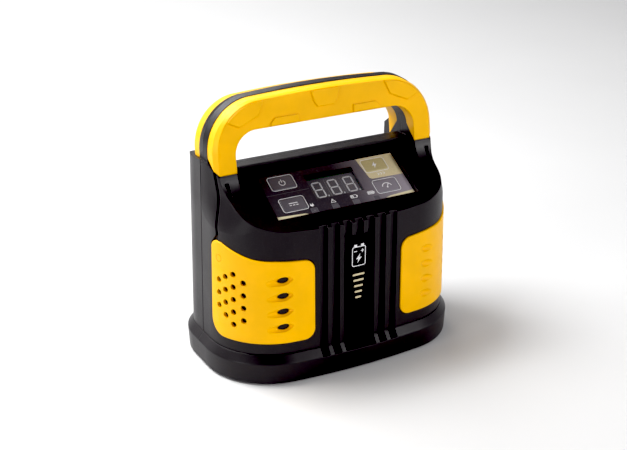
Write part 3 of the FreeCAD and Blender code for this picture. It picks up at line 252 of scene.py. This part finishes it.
def winding(name):
    """Enamelled copper wire laid in close rows."""
    material, tree, shader = new_material(name)
    rows = tree.nodes.new("ShaderNodeTexWave")
    rows.inputs["Scale"].default_value = 260.0
    rows.inputs["Distortion"].default_value = 0.6
    rows.bands_direction = "Z"
    tree.links.new(object_coordinates(tree), rows.inputs["Vector"])
    tone = blend_colours(tree, rows.outputs["Fac"], (0.16, 0.045, 0.012), (0.55, 0.22, 0.07))
    tree.links.new(tone, shader.inputs["Base Color"])
    shader.inputs["Metallic"].default_value = 0.8
    tree.links.new(remap(tree, noise(tree, 300.0), 0.3, 0.7, 0.25, 0.4), shader.inputs["Roughness"])
    bump(tree, shader, rows.outputs["Fac"], 0.0004, 0.8)
    return material


# ---------------------------------------------------------------- one material for every slot


def build_finishes():
    """The finish of each material slot named in the record."""
    yellow = (0.92, 0.475, 0.002)
    # The label, display and keys grow lighter towards the right: the lighter colour of each pair is
    # a painted reflection of the light above right.
    label_dark_to_painted_sheen = ((0.034, 0.031, 0.037), (0.30, 0.27, 0.31))
    display_dark_to_painted_sheen = ((0.060, 0.058, 0.064), (0.16, 0.15, 0.17))
    keys_dark_to_painted_sheen = ((0.085, 0.080, 0.092), (0.20, 0.185, 0.215))
    cable_grey = ((0.30, 0.31, 0.33), (0.36, 0.37, 0.39))
    return {
        "case_black": case_plastic("case_black"),
        "grip_yellow": moulded_plastic(
            "grip_yellow", yellow, 0.42, 1900.0, 0.00005, 0.05, 0.0010, 0.3
        ),
        "panel_yellow": moulded_plastic(
            "panel_yellow", yellow, 0.44, 1900.0, 0.00005, 0.05, 0.0008, 0.3
        ),
        # label_dark, display_dark and key_dark carry the painted reflection, lighter towards the
        # right.
        "label_dark": gradient_film("label_dark", *label_dark_to_painted_sheen, 0.004, 0.058, 0.34, 0, 0.25),
        "window_clear": clear("window_clear", (0.10, 0.098, 0.108), 0.16, 0.10),
        "display_dark": gradient_film("display_dark", *display_dark_to_painted_sheen, -0.020, 0.022, 0.5),
        "lens_smoke": moulded_plastic("lens_smoke", (0.11, 0.105, 0.118), 0.25, 3000.0, 0.00002),
        "lamp_epoxy": clear("lamp_epoxy", (0.80, 0.82, 0.84), 0.1, 0.6),
        "key_dark": gradient_film("key_dark", *keys_dark_to_painted_sheen, -0.046, 0.046, 0.34),
        "key_gold": ink("key_gold", (0.50, 0.43, 0.235), 0.36),
        "plunger_black": moulded_plastic("plunger_black", (0.012, 0.012, 0.013), 0.45),
        "switch_black": moulded_plastic("switch_black", (0.014, 0.014, 0.015), 0.5),
        "board_green": solder_mask("board_green"),
        "screw_steel": metal("screw_steel", (0.62, 0.62, 0.64), 0.32),
        "plate_gloss": moulded_plastic(
            "plate_gloss", (0.003, 0.003, 0.003), 0.16, 400.0, 0.000004, 0.2, 0.0, 0.12
        ),
        "core_steel": metal("core_steel", (0.34, 0.34, 0.36), 0.45, 1800.0, (0.05, 0.05, 1.0)),
        "winding_copper": winding("winding_copper"),
        "strap_steel": metal("strap_steel", (0.56, 0.56, 0.58), 0.35),
        "pad_rubber": moulded_plastic("pad_rubber", (0.016, 0.016, 0.016), 0.8, 900.0, 0.0001),
        "capacitor_sleeve": moulded_plastic("capacitor_sleeve", (0.010, 0.020, 0.085), 0.3),
        "relay_black": moulded_plastic("relay_black", (0.010, 0.030, 0.140), 0.4),
        "choke_ferrite": moulded_plastic(
            "choke_ferrite", (0.13, 0.125, 0.05), 0.55, 1200.0, 0.0001
        ),
        "fuse_glass": clear("fuse_glass", (0.86, 0.90, 0.90), 0.05, 0.4),
        "sink_aluminium": metal("sink_aluminium", (0.70, 0.71, 0.72), 0.4),
        "fan_black": moulded_plastic("fan_black", (0.010, 0.010, 0.011), 0.42),
        "gland_rubber": moulded_plastic("gland_rubber", (0.011, 0.011, 0.011), 0.7, 1100.0, 0.0001),
        "foot_rubber": moulded_plastic("foot_rubber", (0.014, 0.014, 0.014), 0.78, 900.0, 0.0001),
        "ribbon_grey": gradient_film("ribbon_grey", *cable_grey, -0.01, 0.01, 0.5),
    }


FINISHES = build_finishes()
INKS = {
    "white": ink("ink_white", (0.82, 0.82, 0.84)),
    "grey": ink("ink_grey", (0.20, 0.195, 0.21)),
    "faint": ink("ink_faint", (0.13, 0.125, 0.14)),
    "gold": ink("ink_gold", (0.66, 0.57, 0.36)),
    "gold_light": ink("ink_gold_light", (0.66, 0.60, 0.40)),
    "segment": ink("ink_segment", (0.70, 0.70, 0.73)),
    "mask": ink("ink_mask", (0.006, 0.006, 0.007)),
}


def dress_frame():
    """Give every CAD node the finish of its slot."""
    for subpart in frame["record"]["subparts"]:
        materials = NODES[subpart["node"]].data.materials
        materials.clear()
        materials.append(FINISHES[subpart["material_slot"]])


# ---------------------------------------------------------------- pieces


def add_piece(name, mesh, material, body="case"):
    piece = bpy.data.objects.new(name, mesh)
    bpy.context.collection.objects.link(piece)
    mesh.materials.append(material)
    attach(piece, body)
    return piece


def mesh_of(name, points, faces):
    mesh = bpy.data.meshes.new(name)
    mesh.from_pydata([tuple(point) for point in points], [], faces)
    mesh.validate()
    mesh.update()
    return mesh


def shade_by_angle(piece, degrees):
    """Smooth shading, with edges sharper than the angle kept crisp."""
    mesh = piece.data
    mesh.shade_smooth()
    mesh.set_sharp_from_angle(angle=math.radians(degrees))


def box_middle(node):
    low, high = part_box(node)
    return (Vector(low) + Vector(high)) / 2


# ---------------------------------------------------------------- the label's own axes


OVERLAY_HALF_THICK = 0.2 * MM


def label_axes():
    """The label's axes (u, v, w), and its origin on the overlay's top surface."""
    inward = Vector(JOINTS["power_press"]["axis"]).normalized()
    out = -inward
    right = Vector((1, 0, 0))
    up = out.cross(right).normalized()
    low, high = (Vector(corner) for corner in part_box("keypad_overlay"))
    middle = (low + high) / 2
    return right, up, out, middle + out * OVERLAY_HALF_THICK


U, V, W, LABEL = label_axes()


def on_label(u, v, w=0.0):
    """A point of the label in metres; u, v and w in millimetres."""
    return LABEL + (U * u + V * v + W * w) * MM


def label_place(node):
    """Where a node's middle stands on the label, in millimetres."""
    offset = box_middle(node) - LABEL
    return offset.dot(U) / MM, offset.dot(V) / MM


def rounded(u, v, wide, high, radius, steps=5):
    """Outline of a rectangle with round corners, as (u, v) points."""
    points = []
    for turn, (side_u, side_v) in enumerate(((1, 1), (-1, 1), (-1, -1), (1, -1))):
        centre_u = u + side_u * (wide / 2 - radius)
        centre_v = v + side_v * (high / 2 - radius)
        for step in range(steps + 1):
            angle = math.radians(90 * (turn + step / steps))
            reach_u = radius * math.cos(angle)
            reach_v = radius * math.sin(angle)
            points.append((centre_u + reach_u, centre_v + reach_v))
    return points


def arc(u, v, radius, start, stop, steps=14):
    angles = [math.radians(start + (stop - start) * step / steps) for step in range(steps + 1)]
    return [(u + radius * math.cos(angle), v + radius * math.sin(angle)) for angle in angles]


class Print:
    """Raised ink on the label plane: outlines gathered into one thin mesh."""

    def __init__(self, low, high, place=on_label):
        self.low = low
        self.high = high
        self.place = place
        self.points = []
        self.faces = []

    def fill(self, outline):
        """A filled outline, counter-clockwise or clockwise."""
        count = len(outline)
        first = len(self.points)
        for level in (self.low, self.high):
            self.points += [self.place(u, v, level) for u, v in outline]
        shifted = outline[1:] + outline[:1]
        area = sum(u0 * v1 - u1 * v0 for (u0, v0), (u1, v1) in zip(outline, shifted))
        bottom = [first + i for i in range(count)]
        top = [first + count + i for i in range(count)]
        if area < 0:
            bottom.reverse()
            top.reverse()
        self.faces.append(top)
        self.faces.append(bottom[::-1])
        for i in range(count):
            following = (i + 1) % count
            self.faces.append([bottom[i], bottom[following], top[following], top[i]])

    def ring(self, outer, inner):
        """The band between two outlines that have the same number of points."""
        count = len(outer)
        for i in range(count):
            following = (i + 1) % count
            self.fill([outer[i], outer[following], inner[following], inner[i]])

    def stroke(self, line, width):
        """A line of even width through points."""
        for (u0, v0), (u1, v1) in zip(line, line[1:]):
            length = math.hypot(u1 - u0, v1 - v0)
            side_u = -(v1 - v0) / length * width / 2
            side_v = (u1 - u0) / length * width / 2
            self.fill([
                (u0 + side_u, v0 + side_v), (u0 - side_u, v0 - side_v),
                (u1 - side_u, v1 - side_v), (u1 + side_u, v1 + side_v),
            ])

    def piece(self, name, material, body="case", slot="label_dark"):
        return add_piece(name, mesh_of(name, self.points, self.faces), material, body)


INK_LOW = -0.02
INK_HIGH = 0.05
INK_THIN = INK_HIGH * 0.7
INK_THICK = INK_HIGH * 2
LABEL_HALF_V = 20.5
PRINT_EDGE = 55.3


def gold_field():
    """The gold corner that carries the boost key, with its rounded lower left corner."""
    top = LABEL_HALF_V - 0.2
    corner = arc(31.0, 3.6, 3.2, 205, 262, 6)
    art = Print(INK_LOW, INK_HIGH)
    art.fill([(25.6, top), *corner, (PRINT_EDGE, -0.1), (PRINT_EDGE, top)])
    art.piece("gold_field", INKS["gold"])


def gold_stripes():
    """Tapering stripes along the label's lower edge."""
    art = Print(INK_LOW, INK_HIGH)
    base = -LABEL_HALF_V + 0.3
    low = base + 0.8
    high = base + 4.4
    art.fill([(-PRINT_EDGE, low), (-30.5, base + 1.9), (-33.0, base + 2.9), (-PRINT_EDGE, high)])
    art.fill([(28.8, base + 1.1), (PRINT_EDGE, low), (PRINT_EDGE, high), (36.0, base + 3.2)])
    art.piece("gold_stripes", INKS["gold_light"])


def label_lines():
    """Thin division lines: between the left keys, along the lower edge, beside the gold corner."""
    art = Print(INK_LOW, INK_THIN)
    art.stroke([(-55.2, 3.0), (-20.5, 3.0)], 0.22)
    art.stroke([(-27.5, -19.2), (27.5, -19.2)], 0.28)
    art.stroke([(23.3, 19.8), (23.9, 6.0), *arc(29.4, 2.4, 5.6, 165, 200, 5)], 0.22)
    art.piece("label_lines", INKS["faint"])


def key_outlines():
    """A pale outline round every key."""
    for key in ("power", "voltage", "boost", "current"):
        u, v = label_place("key_" + key)
        art = Print(INK_LOW, INK_THICK)
        art.ring(rounded(u, v, 19.7, 12.6, 2.2), rounded(u, v, 18.95, 11.85, 1.85))
        art.piece("key_outline_" + key, INKS["white"])


KEY_WIDE = 18.0
KEY_LONG = 11.0
KEY_CORNER = 1.6
KEY_PROFILE = (
    (0.0, -1.55), (0.0, 0.0), (0.12, 0.16), (0.45, 0.28), (1.1, 0.30), (2.4, 0.24), (3.6, 0.20)
)
KEY_INK_LOW = 0.12
KEY_INK_HIGH = 0.32


def key_cap(key, slot):
    """A key of the keypad: rounded outline, soft shoulder and a slightly hollow top.

    The profile's pairs are the inset from the key's outline and the height over the label.
    """
    u, v = label_place("key_" + key)
    steps = 7
    points = []
    faces = []
    for inset, level in KEY_PROFILE:
        radius = max(KEY_CORNER - inset * 0.4, 0.3)
        outline = rounded(u, v, KEY_WIDE - 2 * inset, KEY_LONG - 2 * inset, radius, steps)
        points += [on_label(a, b, level) for a, b in outline]
    count = 4 * (steps + 1)
    for row in range(len(KEY_PROFILE) - 1):
        low = row * count
        for i in range(count):
            following = (i + 1) % count
            faces.append([low + i, low + following, low + count + following, low + count + i])
    faces.append(list(range(count))[::-1])
    top = (len(KEY_PROFILE) - 1) * count
    faces.append([top + i for i in range(count)])
    mesh = mesh_of("keycap_" + key, points, faces)
    cap = add_piece("keycap_" + key, mesh, FINISHES[slot], key + "_key")
    shade_by_angle(cap, 50)
    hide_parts("key_" + key)
    return u, v


def power_symbol(art, u, v):
    art.stroke(arc(u, v - 0.2, 2.2, 125, 415, 22), 0.5)
    art.stroke([(u, v + 0.2), (u, v + 2.9)], 0.5)


def direct_current_symbol(art, u, v):
    art.stroke([(u - 3.4, v + 0.9), (u + 3.4, v + 0.9)], 0.55)
    for step in (-1, 0, 1):
        art.stroke([(u + step * 2.6 - 0.8, v - 0.9), (u + step * 2.6 + 0.8, v - 0.9)], 0.55)


def gauge_symbol(art, u, v):
    art.stroke(arc(u, v - 1.7, 3.8, 15, 165, 14), 0.5)
    art.stroke([(u, v - 1.6), (u + 1.8, v + 1.2)], 0.5)
    art.fill(rounded(u, v - 1.7, 1.3, 1.3, 0.64, 3))


def bolt_symbol(art, u, v, scale=1.0):
    shape = [(0.9, 3.0), (-2.0, -0.5), (-0.3, -0.5), (-1.0, -3.0), (2.0, 0.7), (0.3, 0.7)]
    art.fill([(u + a * scale, v + b * scale) for a, b in shape])


def build_keys():
    """The four keys with the symbols printed on them, which travel with the keys."""
    symbols = {
        "power": (power_symbol, "key_dark"),
        "voltage": (direct_current_symbol, "key_dark"),
        "boost": (bolt_symbol, "key_gold"),
        "current": (gauge_symbol, "key_dark"),
    }
    for key, (draw, slot) in symbols.items():
        u, v = key_cap(key, slot)
        art = Print(KEY_INK_LOW, KEY_INK_HIGH)
        draw(art, u, v)
        art.piece("key_symbol_" + key, INKS["white"], key + "_key", slot)


def boost_marks():
    """Three chevrons under the boost key."""
    u, v = label_place("key_boost")
    art = Print(INK_LOW, INK_THICK)
    for step in range(3):
        left = u - 1.5 + step * 2.3
        art.stroke([(left, v - 7.6), (left + 1.3, v - 8.6), (left, v - 9.6)], 0.45)
    art.piece("boost_marks", INKS["white"])


# ---------------------------------------------------------------- display


DIGIT_PITCH = 12.6
DIGIT_HIGH = 14.2
DIGIT_WIDE = 7.4
SEGMENT = 1.05
SEGMENT_GAP = 0.16


def segment_bar(start, stop):
    """One display segment: a bar with pointed ends between two corners."""
    (u0, v0), (u1, v1) = start, stop
    length = math.hypot(u1 - u0, v1 - v0)
    along_u = (u1 - u0) / length
    along_v = (v1 - v0) / length
    half = SEGMENT / 2

    def at(run, side):
        return u0 + along_u * run - along_v * side, v0 + along_v * run + along_u * side

    root = SEGMENT_GAP
    tip = length - SEGMENT_GAP
    return [
        at(root, 0), at(root + half, -half), at(tip - half, -half),
        at(tip, 0), at(tip - half, half), at(root + half, half),
    ]


def module_face():
    """Height of the display module's face above the label, in millimetres."""
    mesh = NODES["display_module"].data
    return max((vertex.co - LABEL).dot(W) for vertex in mesh.vertices) / MM


def draw_digit(art, middle, base):
    """All seven segments of one digit, and its point."""
    left = middle - DIGIT_WIDE / 2 + SEGMENT / 2
    right = middle + DIGIT_WIDE / 2 - SEGMENT / 2
    bottom = base + SEGMENT / 2
    top = base + DIGIT_HIGH - SEGMENT / 2
    centre = (bottom + top) / 2
    for level in (top, centre, bottom):
        art.fill(segment_bar((left, level), (right, level)))
    for side in (left, right):
        art.fill(segment_bar((side, bottom), (side, centre)))
        art.fill(segment_bar((side, centre), (side, top)))
    art.fill(rounded(right + 2.0, bottom + 0.1, 1.2, 1.2, 0.55, 3))


def display_mask(u, v, start):
    """The black strip printed along the window's upper edge."""
    low, high = (Vector(corner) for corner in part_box("display_window"))
    half_u = (high.x - low.x) / 2 / MM
    stop = v + (high - low).dot(V) / 2 / MM
    art = Print(INK_LOW, INK_HIGH)
    art.fill([(u - half_u, stop), (u - half_u, start), (u + half_u, start), (u + half_u, stop)])
    art.piece("display_mask", INKS["mask"])


def build_display():
    """Three unlit digits behind the window, the lines between them and the window's mask."""
    u, v = label_place("display_window")
    face = module_face()
    base = v - DIGIT_HIGH / 2 - 1.6
    digits = Print(face, face + 0.08)
    for place in (-1, 0, 1):
        draw_digit(digits, u + place * DIGIT_PITCH, base)
    digits.piece("display_segments", INKS["segment"], slot="display_dark")
    lines = Print(face, face + 0.06)
    for place in (-0.5, 0.5):
        middle = u + place * DIGIT_PITCH + 0.9
        lines.stroke([(middle, base - 1.2), (middle, base + DIGIT_HIGH + 1.0)], 0.3)
    lines.piece("display_dividers", INKS["grey"], slot="display_dark")
    display_mask(u, v, base + DIGIT_HIGH + 2.2)


LENS_SIDE = 4.4
LENS_PITCH = 16.6


def lamp_marks():
    """A frame round every indicator lens and a small pictogram above each."""
    low, high = (Vector(corner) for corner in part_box("indicator_lenses"))
    outer = (high.x - low.x) / 2 / MM - LENS_SIDE / 2
    inner = outer - LENS_PITCH
    v = label_place("indicator_lenses")[1]
    frames = Print(INK_LOW, INK_HIGH)
    for u in (-outer, -inner, inner, outer):
        wide = LENS_SIDE + 0.9
        hole = LENS_SIDE + 0.2
        frames.ring(rounded(u, v, wide, wide, 0.6), rounded(u, v, hole, hole, 0.4))
    frames.piece("lamp_frames", INKS["faint"])
    marks = Print(INK_LOW, INK_THICK)
    row = v + 5.3
    plug_mark(marks, -outer, row)
    warning_mark(marks, -inner, row)
    battery_mark(marks, inner, row, 2)
    battery_mark(marks, outer - 2.6, row + 0.3, 4)
    marks.piece("lamp_marks", INKS["white"])


def plug_mark(art, u, v):
    art.fill([(u - 1.5, v + 0.5), (u + 1.5, v + 0.5), (u + 1.1, v - 0.9), (u - 1.1, v - 0.9)])
    for side in (-0.8, 0.8):
        art.stroke([(u + side, v + 0.5), (u + side, v + 1.5)], 0.4)
    art.stroke([(u, v - 0.9), (u, v - 1.7)], 0.4)


def warning_mark(art, u, v):
    corners = [(u - 1.9, v - 1.4), (u + 1.9, v - 1.4), (u, v + 1.7), (u - 1.9, v - 1.4)]
    art.stroke(corners, 0.35)
    art.stroke([(u, v - 0.5), (u, v + 0.7)], 0.38)


def battery_mark(art, u, v, bars):
    art.ring(rounded(u, v, 5.0, 2.8, 0.5), rounded(u, v, 4.4, 2.2, 0.3))
    art.fill(rounded(u + 2.85, v, 0.6, 1.3, 0.2, 2))
    for bar in range(bars):
        art.fill(rounded(u - 1.55 + bar * 1.03, v, 0.62, 1.6, 0.1, 2))


# ---------------------------------------------------------------- front plate


PLATE_BOW = 940.0
PLATE_INK_LOW = -0.05
PLATE_INK_HIGH = 0.10


def plate_marks():
    """Generic battery pictogram and level bars on the glossy, slightly bowed front plate."""
    low, high = (Vector(corner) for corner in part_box("front_plate"))
    middle = (low.x + high.x) / 2 / MM
    face = low.y / MM
    centre = high.z / MM - 17.0

    def on_plate(u, v, w):
        bow = (abs(u - middle) ** 2) / PLATE_BOW
        return Vector((u, face - w + bow, v)) * MM

    art = Print(PLATE_INK_LOW, PLATE_INK_HIGH, on_plate)
    art.ring(rounded(middle, centre, 11.0, 15.0, 1.6), rounded(middle, centre, 9.8, 13.8, 1.1))
    for side in (-2.8, 2.8):
        art.fill(rounded(middle + side, centre + 8.3, 2.4, 1.6, 0.3, 3))
    signs = centre + 3.9
    art.stroke([(middle - 4.0, signs), (middle - 1.6, signs)], 0.6)
    art.stroke([(middle + 1.6, signs), (middle + 4.0, signs)], 0.6)
    art.stroke([(middle + 2.8, signs - 1.2), (middle + 2.8, signs + 1.2)], 0.6)
    bolt_symbol(art, middle, centre - 1.6, 1.15)
    art.piece("plate_pictogram", INKS["white"], slot="plate_gloss")
    bars = Print(PLATE_INK_LOW, PLATE_INK_HIGH, on_plate)
    for bar in range(5):
        level = centre - 14.0 - bar * 4.4
        bars.fill(rounded(middle, level, 9.5 - bar * 1.2, 1.5, 0.5, 3))
    bars.piece("plate_bars", INKS["gold"], slot="plate_gloss")


# ---------------------------------------------------------------- studio


FLOOR_HALF = 6.0
SWEEP_START = 2.4
SWEEP_RADIUS = 2.0


def build_floor():
    """A pale sweep: flat floor under the object that curves up far behind it."""
    profile = [(-FLOOR_HALF, 0.0), (SWEEP_START, 0.0)]
    for step in range(1, 11):
        angle = math.radians(step * 9)
        y = SWEEP_START + SWEEP_RADIUS * math.sin(angle)
        profile.append((y, SWEEP_RADIUS - SWEEP_RADIUS * math.cos(angle)))
    profile.append((SWEEP_START + SWEEP_RADIUS, 6.0))
    points = []
    for y, z in profile:
        points += [(-FLOOR_HALF, y, z), (FLOOR_HALF, y, z)]
    faces = [[2 * i, 2 * i + 1, 2 * i + 3, 2 * i + 2] for i in range(len(profile) - 1)]
    mesh = mesh_of("studio_floor", points, faces)
    floor = bpy.data.objects.new("studio_floor", mesh)
    bpy.context.collection.objects.link(floor)
    material, tree, shader = new_material("studio_paper")
    tone = blend_colours(
        tree, remap(tree, noise(tree, 3.0), 0.3, 0.7, 0, 1), (0.66, 0.66, 0.66), (0.68, 0.68, 0.68)
    )
    tree.links.new(tone, shader.inputs["Base Color"])
    shader.inputs["Roughness"].default_value = 0.9
    mesh.materials.append(material)
    mesh.shade_smooth()


def area_light(name, place, target, size, power):
    """A white soft box that faces a point."""
    data = bpy.data.lights.new(name, "AREA")
    data.shape = "RECTANGLE"
    data.size, data.size_y = size
    data.energy = power
    lamp = bpy.data.objects.new(name, data)
    lamp.location = place
    lamp.rotation_euler = (Vector(target) - Vector(place)).to_track_quat("-Z", "Y").to_euler()
    bpy.context.collection.objects.link(lamp)


def build_lights():
    """Soft boxes round the object, and one that washes the floor behind it."""
    middle = (Vector(CAD_LOW) + Vector(CAD_HIGH)) / 2
    area_light("top_box", (-0.45, 0.40, 1.05), middle, (0.6, 0.6), 19.0)
    area_light("front_box", (0.85, -1.3, 0.8), middle, (0.6, 0.6), 11.0)
    area_light("left_box", (-1.3, -0.4, 0.40), middle, (0.35, 0.8), 4.0)
    area_light("back_box", (-0.8, 1.2, 0.6), middle, (0.9, 0.5), 3.0)
    area_light("back_wash", (0.0, 1.6, 1.1), (0.1, 1.0, 0.0), (1.6, 0.4), 14.0)


def build_world():
    """Bright round the horizon and dim overhead, like a lit sweep in a dark room."""
    world = bpy.data.worlds.new("studio_world")
    world.use_nodes = True
    tree = world.node_tree
    direction = tree.nodes.new("ShaderNodeTexCoord").outputs["Generated"]
    split = tree.nodes.new("ShaderNodeSeparateXYZ")
    tree.links.new(direction, split.inputs["Vector"])
    height = remap(tree, split.outputs["Z"], 0.30, 0.75, 0, 1)
    sky = blend_colours(tree, height, (1.0, 1.0, 1.0), (0.20, 0.195, 0.21))
    background = tree.nodes["Background"]
    tree.links.new(sky, background.inputs["Color"])
    background.inputs["Strength"].default_value = 0.62
    bpy.context.scene.world = world


CAMERA_AZIMUTH = -28.66
CAMERA_ELEVATION = 23.14
CAMERA_DISTANCE = 0.912
CAMERA_LENS = 71.3
CAMERA_SENSOR = 36.0
CAMERA_AIM = Vector((-0.0024, 0.0067, 0.0868))


def build_camera():
    azimuth = math.radians(CAMERA_AZIMUTH)
    elevation = math.radians(CAMERA_ELEVATION)
    towards = Vector((
        math.sin(-azimuth) * math.cos(elevation),
        math.cos(azimuth) * math.cos(elevation),
        -math.sin(elevation),
    ))
    data = bpy.data.cameras.new("photo_camera")
    data.lens = CAMERA_LENS
    data.sensor_width = CAMERA_SENSOR
    data.clip_start = 0.01
    camera = bpy.data.objects.new("photo_camera", data)
    camera.location = CAMERA_AIM - towards * CAMERA_DISTANCE
    camera.rotation_euler = towards.to_track_quat("-Z", "Y").to_euler()
    bpy.context.collection.objects.link(camera)
    bpy.context.scene.camera = camera


def set_tones():
    """A plain view transform with a tone curve: black and white levels of a product picture."""
    view = bpy.context.scene.view_settings
    view.view_transform = "Standard"
    view.look = "None"
    view.use_curve_mapping = True
    view.curve_mapping.black_level = (0.022, 0.024, 0.022)
    view.curve_mapping.white_level = (0.97, 0.97, 0.97)
    view.curve_mapping.update()


dress_frame()
gold_field()
gold_stripes()
label_lines()
key_outlines()
build_keys()
boost_marks()
build_display()
lamp_marks()
plate_marks()
build_floor()
build_lights()
build_world()
build_camera()
set_tones()
